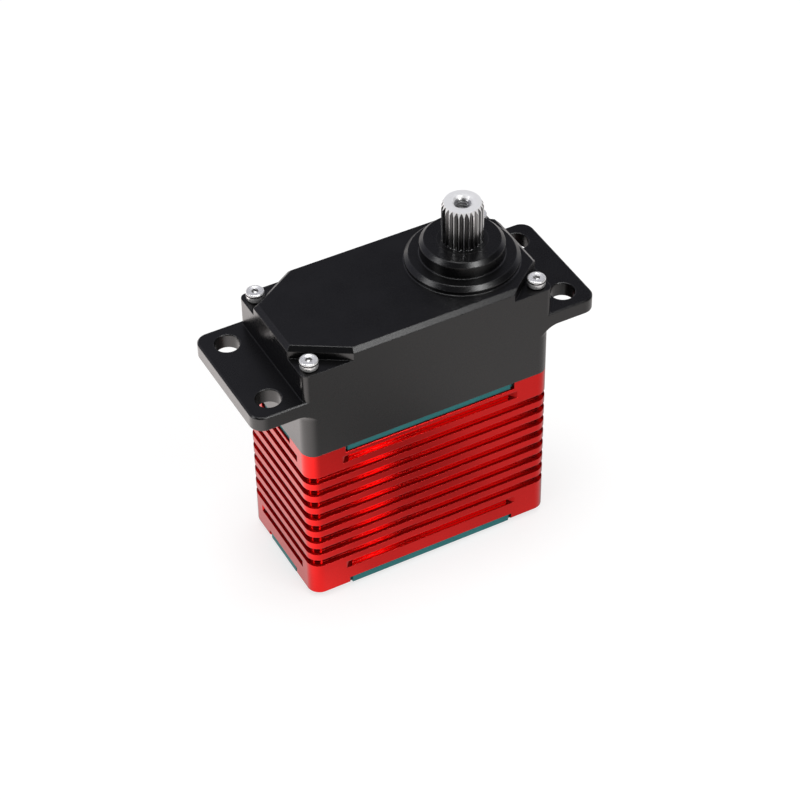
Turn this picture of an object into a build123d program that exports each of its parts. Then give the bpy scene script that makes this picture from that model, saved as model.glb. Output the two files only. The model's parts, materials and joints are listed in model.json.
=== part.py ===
from build123d import *
from math import acos, cos, pi, radians, sin, tan
import os

# A hobby servo motor of the standard size with a metal case, in millimetres.
# The origin is the centre of the four ear holes, on the underside of the ears.
# +Z runs up the output shaft, +X from the motor towards the output shaft, +Y to the rear.

# ---- Case, from outside ----
CASE_LENGTH = 40.0
CASE_WIDTH = 20.4
CASE_CORNER = 2.0
UPPER_CORNER = 1.0  # above the ears
SPLIT = -8.5  # height where the black upper case stands on the red heatsink case
HEATSINK_BOTTOM = -36.6
COVER_BOTTOM = -37.3

EAR_SPAN = 55.2
EAR_THICKNESS = 2.3
EAR_CORNER = 2.0
EAR_EDGE = 0.2
EAR_FILLET = 1.6
EAR_HOLE_RADIUS = 1.85
EAR_HOLE_EDGE = 0.1
EAR_HOLE_SPACING_X = 47.6
EAR_HOLE_SPACING_Y = 13.3

PLATFORM_TOP = 8.9
PLATFORM_CHAMFER = 0.65
POCKET_FLOOR = 7.0
POCKET_LEGS = {-1: (7.9, 4.9), 1: (6.4, 5.2)}  # length and width, at the motor end and the output end

OUTPUT_X = 10.8
LOWER_BOSS_RADIUS = 8.4
LOWER_BOSS_TOP = 10.1
UPPER_BOSS_RADIUS = 6.2
UPPER_BOSS_TOP = 12.6
BOSS_CHAMFER = 0.6
BOSS_FILLET = 0.15

# ---- Cooling grooves, seal windows and seals ----
GROOVE_COUNT = 8
GROOVE_PITCH = 2.39
GROOVE_WIDTH = 1.25
GROOVE_DEPTH = 0.8
SHALLOW_GROOVE_DEPTH = 0.6  # the short grooves of the long sides
FIRST_GROOVE = -13.37
SHORT_GROOVE_HALF_X = 14.4
SHORT_GROOVE_HALF_Y = 6.8
LONG_RUN_OUT = 1.2  # sloping ends of the short grooves
END_RUN_OUT = 0.5
WINDOW_HEIGHT = 1.25
WINDOW_HALF_X = 13.9
WINDOW_HALF_Y = 4.6
WINDOW_LIP = 0.1
HEATSINK_EDGE = 0.35
SEAL_RIM = 0.7  # wall left outside the seals
UPPER_TAB_INSET = 0.35
LOWER_TAB_INSET = 0.1
TAB_END_GAP = 0.5

# ---- Inside of the case ----
CAVITY_LENGTH = 36.8
CAVITY_WIDTH = 17.2
CAVITY_CORNER = 1.0
CAVITY_TOP = 5.4
CEILING = 7.1
GEAR_RELIEF_RADIUS = 8.2
PIN_RELIEF_HALF = 5.0
DECK_TOP = -4.0
CHAMBER_TOP = -11.0
CHAMBER_HALF_X = 18.2
CHAMBER_HALF_Y = 8.0
CHAMBER_CORNER = 4.0
CHAMBER_START = 1.0
BAY_TOP = -28.6
SENSOR_POCKET_RADIUS = 6.5
SENSOR_POCKET_TOP = -6.5

# ---- Case screws ----
SCREW_X = 18.2
SCREW_Y = 8.45
SCREW_RADIUS = 0.8
SCREW_CLEARANCE = 0.05
POST_RADIUS = 2.1
HEAD_RADIUS = 1.4
HEAD_HEIGHT = 1.6
HEAD_EDGE = 0.2
SOCKET_RADIUS = 0.6
SOCKET_DEPTH = 0.8
COVER_SOCKET_RADIUS = 0.55
CASE_SCREW_TIP = -12.3
COVER_SCREW_X = 17.7
COVER_SCREW_Y = 7.85
COVER_SCREW_RADIUS = 0.7
COVER_SCREW_TIP = -31.6
COUNTERSINK_RADIUS = 1.2
COUNTERSINK_DEPTH = 0.5

# ---- Bottom cover ----
COVER_INSET = 0.9
COVER_PLUG_TOP = -35.3
COVER_PLUG_GAP = 0.1
COVER_WALL = 1.2

# ---- Gear train ----
PRESSURE_ANGLE = radians(20)
TOOTH_TOP = 1.0  # in modules
TOOTH_ROOT = 1.25  # in modules
# module, pinion teeth, wheel teeth, profile shift, play between the flanks
MOTOR_STAGE = (0.30, 10, 48, 0.25, 0.12)
SECOND_STAGE = (0.35, 16, 44, 0.20, 0.12)
THIRD_STAGE = (0.42, 14, 36, 0.25, 0.14)
OUTPUT_STAGE = (0.50, 12, 30, 0.35, 0.16)
PIN_X = OUTPUT_X - OUTPUT_STAGE[0] * (OUTPUT_STAGE[1] + OUTPUT_STAGE[2]) / 2
MOTOR_X = PIN_X - MOTOR_STAGE[0] * (MOTOR_STAGE[1] + MOTOR_STAGE[2]) / 2
PIN_RADIUS = 1.0
PIN_TOP = 8.2
PIN_BOTTOM = -7.5
RUNNING_GAP = 0.05

FIRST_WHEEL = (-3.6, -2.0)  # lower and upper face
FIRST_PINION = (-2.0, 0.6)
SECOND_WHEEL = (-1.6, 0.4)
SECOND_PINION = (0.4, 3.2)
SECOND_HUB_BOTTOM = -3.9
SECOND_HUB_RADIUS = 2.6
THIRD_WHEEL = (0.8, 2.8)
THIRD_PINION = (2.8, 6.6)
OUTPUT_WHEEL = (3.4, 6.4)

# ---- Output shaft and its bearings ----
SPLINE_TEETH = 25
SPLINE_RADIUS = 3.05
SPLINE_ROOT = 2.7
SPLINE_TOP = 19.15
HORN_HOLE_RADIUS = 1.25
HORN_HOLE_BOTTOM = 10.5
HORN_HOLE_EDGE = 0.15
SHAFT_RADIUS = 3.0
SHAFT_COLLAR_RADIUS = 3.5
JOURNAL_RADIUS = 2.0
SHAFT_BOTTOM = -6.6
SHOULDER = 3.3
UPPER_BEARING = {"bore": 3.0, "outside": 5.0, "bottom": 8.4, "top": 11.4, "ball": 0.5, "balls": 9}
LOWER_BEARING = {"bore": 2.0, "outside": 3.5, "bottom": -6.0, "top": -4.0, "ball": 0.36, "balls": 8}
RACE_GROOVE_GAP = 0.06
SEAL_BORE_RADIUS = 3.7
CLIP = {"inside": 1.8, "outside": 2.9, "bottom": -6.45, "top": -6.1, "mouth": 2.4}

# ---- Position sensor ----
SENSOR_MAGNET_RADIUS = 1.6
SENSOR_MAGNET_BOTTOM = -7.6
SENSOR_BOARD = (-9.8, -9.0)
SENSOR_CHIP_TOP = -8.3
SENSOR_CHIP_SIDE = 3.0

# ---- Motor ----
MOTOR_RADIUS = 8.0
MOTOR_BORE_GAP = 0.1
MOTOR_BOTTOM = -27.5
MOTOR_WALL = 0.6
MOTOR_END = 1.0
MOTOR_NOSE_RADIUS = 3.0
MOTOR_NOSE_TOP = -6.0
MOTOR_CAP_BOTTOM = -28.3
MOTOR_SHAFT_RADIUS = 0.75
MOTOR_SHAFT = (-28.2, -2.1)
MOTOR_PINION = (-3.7, -2.1)
BUSH_RADIUS = 2.0
STATOR = (-25.0, -12.0)
STATOR_BORE = 4.7
STATOR_YOKE = 6.4
STATOR_TEETH = 6
STATOR_TOOTH_HALF = 0.8
COIL_HALF = 1.7
COIL_OVERHANG = 0.9
ROTOR_RADIUS = 4.4
MOTOR_SCREW_Y = 5.0
MOTOR_SCREW_HEAD = 1.4
MOTOR_SCREW_HEAD_BOTTOM = -5.0
MOTOR_SCREW_TIP = -9.4

# ---- Control board and cable inlet ----
BOARD = (-29.6, -28.6)
BOARD_GAP = 0.3
CHIP_THICKNESS = 0.9
CAPACITOR_RADIUS = 2.5
CAPACITOR_HEIGHT = 7.0
CAPACITOR_X = 14.0
GROMMET_Z = -33.2
GROMMET_HOLE = (6.0, 2.6)
GROMMET_FLANGE = (7.4, 3.8)
GROMMET_FLANGE_THICKNESS = 0.9
WIRE_SLOT = (4.4, 1.3)

SIDES = [(x, y) for x in (-1, 1) for y in (-1, 1)]
SCREW_PLACES = [(x * SCREW_X, y * SCREW_Y) for x, y in SIDES]
COVER_SCREW_PLACES = [(x * COVER_SCREW_X, y * COVER_SCREW_Y) for x, y in SIDES]
UPRIGHT = (Align.CENTER, Align.CENTER, Align.MIN)


# ---- Shapes that many pieces share ----


def rod(radius, bottom, top, x=0.0, y=0.0):
    """An upright cylinder between two heights."""
    return Pos(x, y, bottom) * Cylinder(radius, top - bottom, align=UPRIGHT)


def tube(outside, inside, bottom, top, x=0.0, y=0.0):
    """An upright tube between two heights."""
    return rod(outside, bottom, top, x, y) - rod(inside, bottom, top, x, y)


def slab(length, width, bottom, top, corner):
    """A block centred on the Z axis with rounded upright corners."""
    return extrude(Plane.XY.offset(bottom) * RectangleRounded(length, width, corner), amount=top - bottom)


def block(x_range, y_range, z_range):
    """A plain block between two values along each axis."""
    size = [high - low for low, high in (x_range, y_range, z_range)]
    return Pos(x_range[0], y_range[0], z_range[0]) * Box(*size, align=(Align.MIN,) * 3)


def turned(points, x=0.0):
    """A solid of revolution about an upright axis at x, from (radius, height) points of a closed outline."""
    outline = make_face(Polyline(*[(r, 0, z) for r, z in points], close=True))
    return Pos(x, 0, 0) * revolve(outline, Axis.Z)


def chamfered_rod(radius, bottom, top, edge, x=0.0, y=0.0):
    """An upright cylinder with its top edge chamfered."""
    body = turned([(0, bottom), (radius, bottom), (radius, top - edge), (radius - edge, top), (0, top)])
    return Pos(x, y, 0) * body


def together(pieces):
    """Separate solids held as one compound, or one solid."""
    return Compound(children=[solid for piece in pieces for solid in piece.solids()])


# ---- Gears ----


def involute(angle):
    return tan(angle) - angle


def gear(module, teeth, shift, play, faces, tooth_at=0.0, x=0.0):
    """A spur gear between two heights, with a tooth centred on the direction tooth_at (radians).

    Each flank follows the involute of the base circle in two straight steps, and runs straight
    inwards below it.
    """
    pitch_radius = module * teeth / 2
    base = pitch_radius * cos(PRESSURE_ANGLE)
    tip = pitch_radius + module * (TOOTH_TOP + shift)
    root = pitch_radius - module * (TOOTH_ROOT - shift)
    half_at_pitch = pi / (2 * teeth) + 2 * shift * tan(PRESSURE_ANGLE) / teeth - play / (4 * pitch_radius)

    def half_angle(radius):
        thinning = involute(acos(base / radius)) if radius > base else 0.0
        return half_at_pitch + involute(PRESSURE_ANGLE) - thinning

    start = max(root, base)
    flank = [start, (start + tip) / 2, tip]
    if root < base:
        flank.insert(0, root)
    points = []
    for tooth in range(teeth):
        middle = tooth_at + 2 * pi * tooth / teeth
        corners = [(r, middle - half_angle(r)) for r in flank]
        corners += [(r, middle + half_angle(r)) for r in reversed(flank)]
        points += [(r * cos(a), r * sin(a)) for r, a in corners]
    outline = make_face(Polyline(*points, close=True))
    return Pos(x, 0, faces[0]) * extrude(outline, amount=faces[1] - faces[0])


def pinion(stage, faces, towards, x=0.0):
    """The small gear of a stage, with a tooth that points to its mate."""
    module, teeth, _, shift, play = stage
    return gear(module, teeth, shift, play, faces, towards, x)


def wheel(stage, faces, towards, x=0.0):
    """The large gear of a stage, with a gap that points to its mate."""
    module, _, teeth, shift, play = stage
    return gear(module, teeth, -shift, play, faces, towards + pi / teeth, x)


# ---- Upper case ----


def spigot(bottom, top):
    """The raised middle of the heatsink case, cut away round the corner posts of the upper case."""
    body = slab(CAVITY_LENGTH, CAVITY_WIDTH, bottom, top, CAVITY_CORNER)
    for x, y in SCREW_PLACES:
        body -= rod(POST_RADIUS, bottom, top, x, y)
    return body


def corner_pocket(x_side, y_side):
    """The three-cornered recess that sinks a case screw's head below the platform."""
    along, across = POCKET_LEGS[x_side]
    x_edge, y_edge = CASE_LENGTH / 2, CASE_WIDTH / 2
    reach = 1.0  # the cut runs this far past both faces
    slope = across / along
    points = [
        (x_side * (x_edge + reach), y_side * (y_edge - across - reach * slope)),
        (x_side * (x_edge - along - reach / slope), y_side * (y_edge + reach)),
        (x_side * (x_edge + reach), y_side * (y_edge + reach)),
    ]
    outline = make_face(Polyline(*points, close=True))
    return Pos(0, 0, POCKET_FLOOR) * extrude(outline, amount=PLATFORM_TOP - POCKET_FLOOR + reach)


def output_boss():
    """Two steps round the output shaft, each chamfered at its top and filleted at its foot."""
    top_radius = UPPER_BOSS_RADIUS - BOSS_CHAMFER
    ledge = LOWER_BOSS_RADIUS - BOSS_CHAMFER

    def foot(radius, height):
        """The concave fillet from the floor at this height up to the wall at this radius."""
        centre_x, centre_z = radius + BOSS_FILLET, height + BOSS_FILLET
        reach = BOSS_FILLET * cos(pi / 4)
        return ThreePointArc(
            (centre_x, 0, height), (centre_x - reach, 0, centre_z - reach), (radius, 0, centre_z)
        )

    lower_foot = foot(LOWER_BOSS_RADIUS, PLATFORM_TOP)
    upper_foot = foot(UPPER_BOSS_RADIUS, LOWER_BOSS_TOP)
    climb = Polyline(
        (LOWER_BOSS_RADIUS, 0, PLATFORM_TOP + BOSS_FILLET),
        (LOWER_BOSS_RADIUS, 0, LOWER_BOSS_TOP - BOSS_CHAMFER),
        (ledge, 0, LOWER_BOSS_TOP),
        (UPPER_BOSS_RADIUS + BOSS_FILLET, 0, LOWER_BOSS_TOP),
    )
    crown = Polyline(
        (UPPER_BOSS_RADIUS, 0, LOWER_BOSS_TOP + BOSS_FILLET),
        (UPPER_BOSS_RADIUS, 0, UPPER_BOSS_TOP - BOSS_CHAMFER),
        (top_radius, 0, UPPER_BOSS_TOP),
        (0, 0, UPPER_BOSS_TOP),
        (0, 0, CEILING),
        (LOWER_BOSS_RADIUS + BOSS_FILLET, 0, CEILING),
        (LOWER_BOSS_RADIUS + BOSS_FILLET, 0, PLATFORM_TOP),
    )
    return Pos(OUTPUT_X, 0, 0) * revolve(make_face([lower_foot, climb, upper_foot, crown]), Axis.Z)


def ears():
    """The mounting ears, as one plate through the case, with the fillet below them and their holes."""
    plate = slab(EAR_SPAN, CASE_WIDTH, 0, EAR_THICKNESS, EAR_CORNER)
    plate = chamfer(plate.faces().sort_by(Axis.Z)[-1].edges(), EAR_EDGE)
    flare = block(
        (-CASE_LENGTH / 2 - EAR_FILLET, CASE_LENGTH / 2 + EAR_FILLET),
        (CASE_CORNER - CASE_WIDTH / 2, CASE_WIDTH / 2 - CASE_CORNER),
        (-EAR_FILLET, 0),
    )
    for x_side in (-1, 1):
        edge = x_side * (CASE_LENGTH / 2 + EAR_FILLET)
        flare -= Pos(edge, 0, -EAR_FILLET) * Rot(90, 0, 0) * Cylinder(EAR_FILLET, CASE_WIDTH)
    skirt = []
    for x_side, y_side in SIDES:
        corner_x = x_side * (CASE_LENGTH / 2 - CASE_CORNER)
        corner_y = y_side * (CASE_WIDTH / 2 - CASE_CORNER)
        wide = rod(CASE_CORNER + EAR_FILLET, -EAR_FILLET, 0, corner_x, corner_y)
        hollow = Pos(corner_x, corner_y, -EAR_FILLET) * Torus(CASE_CORNER + EAR_FILLET, EAR_FILLET)
        skirt.append(wide - hollow)
    body = plate + (slab(EAR_SPAN, CASE_WIDTH, -EAR_FILLET, 0, EAR_CORNER) & (flare + skirt))
    for x_side, y_side in SIDES:
        x, y = x_side * EAR_HOLE_SPACING_X / 2, y_side * EAR_HOLE_SPACING_Y / 2
        body -= rod(EAR_HOLE_RADIUS, -EAR_FILLET, EAR_THICKNESS, x, y)
        rim = Cone(EAR_HOLE_RADIUS, EAR_HOLE_RADIUS + EAR_HOLE_EDGE, EAR_HOLE_EDGE, align=UPRIGHT)
        body -= Pos(x, y, EAR_THICKNESS - EAR_HOLE_EDGE) * rim
    return body


def upper_case():
    body = slab(CASE_LENGTH, CASE_WIDTH, 0, PLATFORM_TOP, UPPER_CORNER)
    for y_side in (-1, 1):
        body -= corner_pocket(-1, y_side)
    body = chamfer(body.faces().sort_by(Axis.Z)[-1].edges(), PLATFORM_CHAMFER)
    for y_side in (-1, 1):
        body -= corner_pocket(1, y_side)
    body += slab(CASE_LENGTH, CASE_WIDTH, SPLIT, 0, CASE_CORNER)
    body += ears()
    body += output_boss()

    body -= spigot(SPLIT, CAVITY_TOP)
    body -= rod(GEAR_RELIEF_RADIUS, SPLIT, CEILING, OUTPUT_X)
    body -= block((PIN_X - PIN_RELIEF_HALF, OUTPUT_X), (-PIN_RELIEF_HALF, PIN_RELIEF_HALF), (SPLIT, CEILING))
    body -= rod(PIN_RADIUS, CEILING, PIN_TOP, PIN_X)
    body -= rod(UPPER_BEARING["outside"], CEILING, UPPER_BEARING["top"], OUTPUT_X)
    body -= rod(SEAL_BORE_RADIUS, UPPER_BEARING["top"], UPPER_BOSS_TOP, OUTPUT_X)
    for x, y in SCREW_PLACES:
        body -= rod(SCREW_RADIUS + SCREW_CLEARANCE, SPLIT, POCKET_FLOOR, x, y)
    return body


# ---- Heatsink case and seals ----


def all_round_groove(middle):
    """One cooling groove that runs right round the case."""
    low, high = middle - GROOVE_WIDTH / 2, middle + GROOVE_WIDTH / 2
    outside = slab(CASE_LENGTH + 2, CASE_WIDTH + 2, low, high, CASE_CORNER)
    core_length, core_width = CASE_LENGTH - 2 * GROOVE_DEPTH, CASE_WIDTH - 2 * GROOVE_DEPTH
    return outside - slab(core_length, core_width, low, high, CASE_CORNER - GROOVE_DEPTH)


def short_groove(middle, half_length, face, depth, run_out):
    """A groove along one flat side only, sloping out at both ends. It cuts the face at y = -face."""
    points = [
        (-half_length, -face),
        (-half_length + run_out, -face + depth),
        (half_length - run_out, -face + depth),
        (half_length, -face),
        (half_length, -face - 1),
        (-half_length, -face - 1),
    ]
    outline = make_face(Polyline(*points, close=True))
    return Pos(0, 0, middle - GROOVE_WIDTH / 2) * extrude(outline, amount=GROOVE_WIDTH)


def window_bars(bottom, depth, end_gap=0.0):
    """Bars through the case wall where a seal shows: long sides first, then the ends."""
    top = bottom + WINDOW_HEIGHT
    x_edge, y_edge = CASE_LENGTH / 2, CASE_WIDTH / 2
    half_x, half_y = WINDOW_HALF_X - end_gap, WINDOW_HALF_Y - end_gap
    bars = []
    for side in (-1, 1):
        y_range = sorted((side * (y_edge - depth), side * (y_edge + 1)))
        bars.append(block((-half_x, half_x), y_range, (bottom, top)))
    for side in (-1, 1):
        x_range = sorted((side * (x_edge - depth), side * (x_edge + 1)))
        bars.append(block(x_range, (-half_y, half_y), (bottom, top)))
    return bars


def window_lips(height):
    """Small bevels along the sill of each upper window."""
    side = WINDOW_LIP * 2**0.5
    long_bar = Rot(45, 0, 0) * Box(2 * WINDOW_HALF_X, side, side)
    end_bar = Rot(0, 45, 0) * Box(side, 2 * WINDOW_HALF_Y, side)
    lips = [Pos(0, y, height) * long_bar for y in (-CASE_WIDTH / 2, CASE_WIDTH / 2)]
    return lips + [Pos(x, 0, height) * end_bar for x in (-CASE_LENGTH / 2, CASE_LENGTH / 2)]


def seal(bottom, core, screws, tab_inset):
    """A flat rubber frame inside the case wall, with its screw holes and a tab that stands in each window."""
    top = bottom + WINDOW_HEIGHT
    length, width = CASE_LENGTH - 2 * SEAL_RIM, CASE_WIDTH - 2 * SEAL_RIM
    body = slab(length, width, bottom, top, CASE_CORNER - SEAL_RIM)
    length, width = CASE_LENGTH - 2 * tab_inset, CASE_WIDTH - 2 * tab_inset
    tab_limit = slab(length, width, bottom, top, CASE_CORNER - tab_inset)
    for bar in window_bars(bottom, 2 * SEAL_RIM, TAB_END_GAP):
        body += bar & tab_limit
    body -= core
    for x, y in screws:
        body -= rod(SCREW_RADIUS + SCREW_CLEARANCE, bottom, top, x, y)
    return body


def bay(bottom, top, gap=0.0):
    """The room at the bottom of the heatsink case, or what fills it with a gap all round."""
    length, width = 2 * (CHAMBER_HALF_X - gap), 2 * (CHAMBER_HALF_Y - gap)
    return slab(length, width, bottom, top, CHAMBER_CORNER - gap)


def heatsink_case():
    body = slab(CASE_LENGTH, CASE_WIDTH, HEATSINK_BOTTOM, SPLIT, CASE_CORNER)
    body = chamfer(body.faces().sort_by(Axis.Z)[0].edges(), HEATSINK_EDGE)
    for step in range(GROOVE_COUNT):
        body -= all_round_groove(FIRST_GROOVE - step * GROOVE_PITCH)
    above = FIRST_GROOVE + GROOVE_PITCH
    below = FIRST_GROOVE - GROOVE_COUNT * GROOVE_PITCH
    for middle in (above, below):
        long_cut = short_groove(
            middle, SHORT_GROOVE_HALF_X, CASE_WIDTH / 2, SHALLOW_GROOVE_DEPTH, LONG_RUN_OUT
        )
        end_cut = short_groove(middle, SHORT_GROOVE_HALF_Y, CASE_LENGTH / 2, GROOVE_DEPTH, END_RUN_OUT)
        body -= long_cut
        body -= Rot(0, 0, 180) * long_cut
        body -= Rot(0, 0, -90) * end_cut
        if middle == above:  # the cable inlet takes this groove's place at the bottom of the output end
            body -= Rot(0, 0, 90) * end_cut

    upper_seal_bottom = SPLIT - WINDOW_HEIGHT
    inner_length, inner_width = CASE_LENGTH - 2 * SEAL_RIM, CASE_WIDTH - 2 * SEAL_RIM
    for bottom in (upper_seal_bottom, HEATSINK_BOTTOM):
        body -= slab(inner_length, inner_width, bottom, bottom + WINDOW_HEIGHT, CASE_CORNER - SEAL_RIM)
        for bar in window_bars(bottom, SEAL_RIM):
            body -= bar
    for lip in window_lips(upper_seal_bottom):
        body -= lip
    body += spigot(upper_seal_bottom, DECK_TOP)

    body -= rod(MOTOR_RADIUS + MOTOR_BORE_GAP, BAY_TOP, SPLIT, MOTOR_X)
    body -= rod(MOTOR_NOSE_RADIUS, SPLIT, MOTOR_NOSE_TOP, MOTOR_X)
    body -= rod(BUSH_RADIUS, MOTOR_NOSE_TOP, DECK_TOP, MOTOR_X)
    for y in (-MOTOR_SCREW_Y, MOTOR_SCREW_Y):
        body -= rod(SCREW_RADIUS + SCREW_CLEARANCE, SPLIT, DECK_TOP, MOTOR_X, y)
        body -= rod(MOTOR_SCREW_HEAD + SCREW_CLEARANCE, MOTOR_SCREW_HEAD_BOTTOM, DECK_TOP, MOTOR_X, y)
    chamber = bay(BAY_TOP, CHAMBER_TOP)
    body -= chamber & block((CHAMBER_START, CASE_LENGTH), (-CASE_WIDTH, CASE_WIDTH), (BAY_TOP, CHAMBER_TOP))
    body -= bay(HEATSINK_BOTTOM, BAY_TOP)
    body -= rod(SENSOR_POCKET_RADIUS, CHAMBER_TOP, SENSOR_POCKET_TOP, OUTPUT_X)
    body -= rod(LOWER_BEARING["outside"], SENSOR_POCKET_TOP, DECK_TOP, OUTPUT_X)
    body -= rod(PIN_RADIUS, PIN_BOTTOM, DECK_TOP, PIN_X)
    for x, y in SCREW_PLACES:
        body -= rod(SCREW_RADIUS, CASE_SCREW_TIP, SPLIT, x, y)
    for x, y in COVER_SCREW_PLACES:
        body -= rod(COVER_SCREW_RADIUS, HEATSINK_BOTTOM, COVER_SCREW_TIP, x, y)
    body -= inlet_plug(GROMMET_HOLE, CHAMBER_HALF_X, CASE_LENGTH / 2)
    return body


def inlet_plug(size, start, end):
    """A bar with round ends that lies along X at the cable inlet."""
    width, height = size
    outline = Plane.YZ.offset(start) * Pos(0, GROMMET_Z) * RectangleRounded(width, height, height * 0.49)
    return extrude(outline, amount=end - start)


def cable_grommet():
    """The rubber sleeve of the cable inlet, with a flange on each side of the wall."""
    wall_in, wall_out = CHAMBER_HALF_X, CASE_LENGTH / 2
    thick = GROMMET_FLANGE_THICKNESS
    body = inlet_plug(GROMMET_HOLE, wall_in - thick, wall_out + thick)
    body += inlet_plug(GROMMET_FLANGE, wall_in - thick, wall_in)
    body += inlet_plug(GROMMET_FLANGE, wall_out, wall_out + thick)
    return body - inlet_plug(WIRE_SLOT, wall_in - thick, wall_out + thick)


def bottom_cover():
    """A flanged lid: its plug stands in the lower seal and its flange covers the seal's underside."""
    length, width = CASE_LENGTH - 2 * COVER_INSET, CASE_WIDTH - 2 * COVER_INSET
    body = slab(length, width, COVER_BOTTOM, HEATSINK_BOTTOM, CASE_CORNER - COVER_INSET)
    body = chamfer(body.faces().sort_by(Axis.Z)[0].edges(), EAR_EDGE)
    body += bay(HEATSINK_BOTTOM, COVER_PLUG_TOP, COVER_PLUG_GAP)
    body -= bay(HEATSINK_BOTTOM, COVER_PLUG_TOP, COVER_PLUG_GAP + COVER_WALL)
    for x, y in COVER_SCREW_PLACES:
        body -= rod(COVER_SCREW_RADIUS, COVER_BOTTOM, HEATSINK_BOTTOM, x, y)
        body -= countersink(x, y)
    return body


def countersink(x, y):
    """The cone of a countersunk screw's head at the underside of the cover."""
    cone = Cone(COUNTERSINK_RADIUS, COVER_SCREW_RADIUS, COUNTERSINK_DEPTH, align=UPRIGHT)
    return Pos(x, y, COVER_BOTTOM) * cone


# ---- Screws ----


def hex_socket(bottom, top, radius, x, y):
    outline = Plane.XY.offset(bottom) * Pos(x, y) * RegularPolygon(radius, 6)
    return extrude(outline, amount=top - bottom)


def case_screw(x, y):
    """A socket cap screw from a corner pocket down into the heatsink case."""
    top = POCKET_FLOOR + HEAD_HEIGHT
    body = rod(SCREW_RADIUS, CASE_SCREW_TIP, POCKET_FLOOR, x, y)
    body += chamfered_rod(HEAD_RADIUS, POCKET_FLOOR, top, HEAD_EDGE, x, y)
    return body - hex_socket(top - SOCKET_DEPTH, top, SOCKET_RADIUS, x, y)


def cover_screw(x, y):
    """A countersunk screw up through the bottom cover."""
    body = rod(COVER_SCREW_RADIUS, COVER_BOTTOM, COVER_SCREW_TIP, x, y) + countersink(x, y)
    return body - hex_socket(COVER_BOTTOM, COVER_BOTTOM + COUNTERSINK_DEPTH, COVER_SOCKET_RADIUS, x, y)


def motor_screw(y):
    """A cap screw sunk in the deck that holds the motor's front."""
    body = rod(SCREW_RADIUS, MOTOR_SCREW_TIP, MOTOR_SCREW_HEAD_BOTTOM, MOTOR_X, y)
    body += rod(MOTOR_SCREW_HEAD, MOTOR_SCREW_HEAD_BOTTOM, DECK_TOP, MOTOR_X, y)
    return body - hex_socket(DECK_TOP - SCREW_RADIUS, DECK_TOP, SOCKET_RADIUS, MOTOR_X, y)


# ---- Output shaft and bearings ----


def spline():
    """Pointed teeth round the end of the shaft, above the case."""
    points = []
    for tooth in range(SPLINE_TEETH):
        middle = 2 * pi * tooth / SPLINE_TEETH
        half = pi / SPLINE_TEETH
        points.append((SPLINE_RADIUS * cos(middle), SPLINE_RADIUS * sin(middle)))
        points.append((SPLINE_ROOT * cos(middle + half), SPLINE_ROOT * sin(middle + half)))
    outline = make_face(Polyline(*points, close=True))
    return Pos(OUTPUT_X, 0, UPPER_BOSS_TOP) * extrude(outline, amount=SPLINE_TOP - UPPER_BOSS_TOP)


def output_shaft():
    """The stepped shaft from the sensor magnet up to the splined end with its threaded hole."""
    collar_top = UPPER_BEARING["bottom"]
    body = turned(
        [
            (0, SHAFT_BOTTOM),
            (JOURNAL_RADIUS, SHAFT_BOTTOM),
            (JOURNAL_RADIUS, CLIP["bottom"]),
            (CLIP["inside"], CLIP["bottom"]),
            (CLIP["inside"], CLIP["top"]),
            (JOURNAL_RADIUS, CLIP["top"]),
            (JOURNAL_RADIUS, SHOULDER),
            (SHAFT_RADIUS, SHOULDER),
            (SHAFT_RADIUS, OUTPUT_WHEEL[1]),
            (SHAFT_COLLAR_RADIUS, OUTPUT_WHEEL[1]),
            (SHAFT_COLLAR_RADIUS, collar_top),
            (SHAFT_RADIUS, collar_top),
            (SHAFT_RADIUS, UPPER_BOSS_TOP),
            (0, UPPER_BOSS_TOP),
        ],
        OUTPUT_X,
    )
    body += spline()
    body -= rod(HORN_HOLE_RADIUS, HORN_HOLE_BOTTOM, SPLINE_TOP, OUTPUT_X)
    mouth = Cone(HORN_HOLE_RADIUS, HORN_HOLE_RADIUS + HORN_HOLE_EDGE, HORN_HOLE_EDGE, align=UPRIGHT)
    return body - Pos(OUTPUT_X, 0, SPLINE_TOP - HORN_HOLE_EDGE) * mouth


def bearing_rings(bearing):
    """The inner and outer ring of a ball bearing, with the groove that the balls run in."""
    bore, outside = bearing["bore"], bearing["outside"]
    middle = (bore + outside) / 2
    height = (bearing["bottom"] + bearing["top"]) / 2
    half_gap = 0.7 * bearing["ball"]
    groove = Torus(middle, bearing["ball"] + RACE_GROOVE_GAP)
    inner = tube(middle - half_gap, bore, bearing["bottom"], bearing["top"], OUTPUT_X)
    outer = tube(outside, middle + half_gap, bearing["bottom"], bearing["top"], OUTPUT_X)
    groove = Pos(OUTPUT_X, 0, height) * groove
    return inner - groove, outer - groove


def bearing_balls(bearing):
    """The ring of balls between the two rings."""
    middle = (bearing["bore"] + bearing["outside"]) / 2
    height = (bearing["bottom"] + bearing["top"]) / 2
    ring = []
    for ball in range(bearing["balls"]):
        angle = 2 * pi * ball / bearing["balls"]
        place = Pos(OUTPUT_X + middle * cos(angle), middle * sin(angle), height)
        ring.append(place * Sphere(bearing["ball"]))
    return together(ring)


def shaft_clip():
    """An open ring that snaps into the groove of the shaft below its lower bearing."""
    body = tube(CLIP["outside"], CLIP["inside"], CLIP["bottom"], CLIP["top"], OUTPUT_X)
    half = CLIP["mouth"] / 2
    return body - block((OUTPUT_X, OUTPUT_X + SHAFT_RADIUS), (-half, half), (CLIP["bottom"], CLIP["top"]))


# ---- Gear train pieces ----


def first_gear():
    body = wheel(MOTOR_STAGE, FIRST_WHEEL, pi) + pinion(SECOND_STAGE, FIRST_PINION, 0)
    body -= rod(PIN_RADIUS + RUNNING_GAP, FIRST_WHEEL[0], FIRST_PINION[1])
    return Pos(PIN_X, 0, 0) * body


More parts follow.
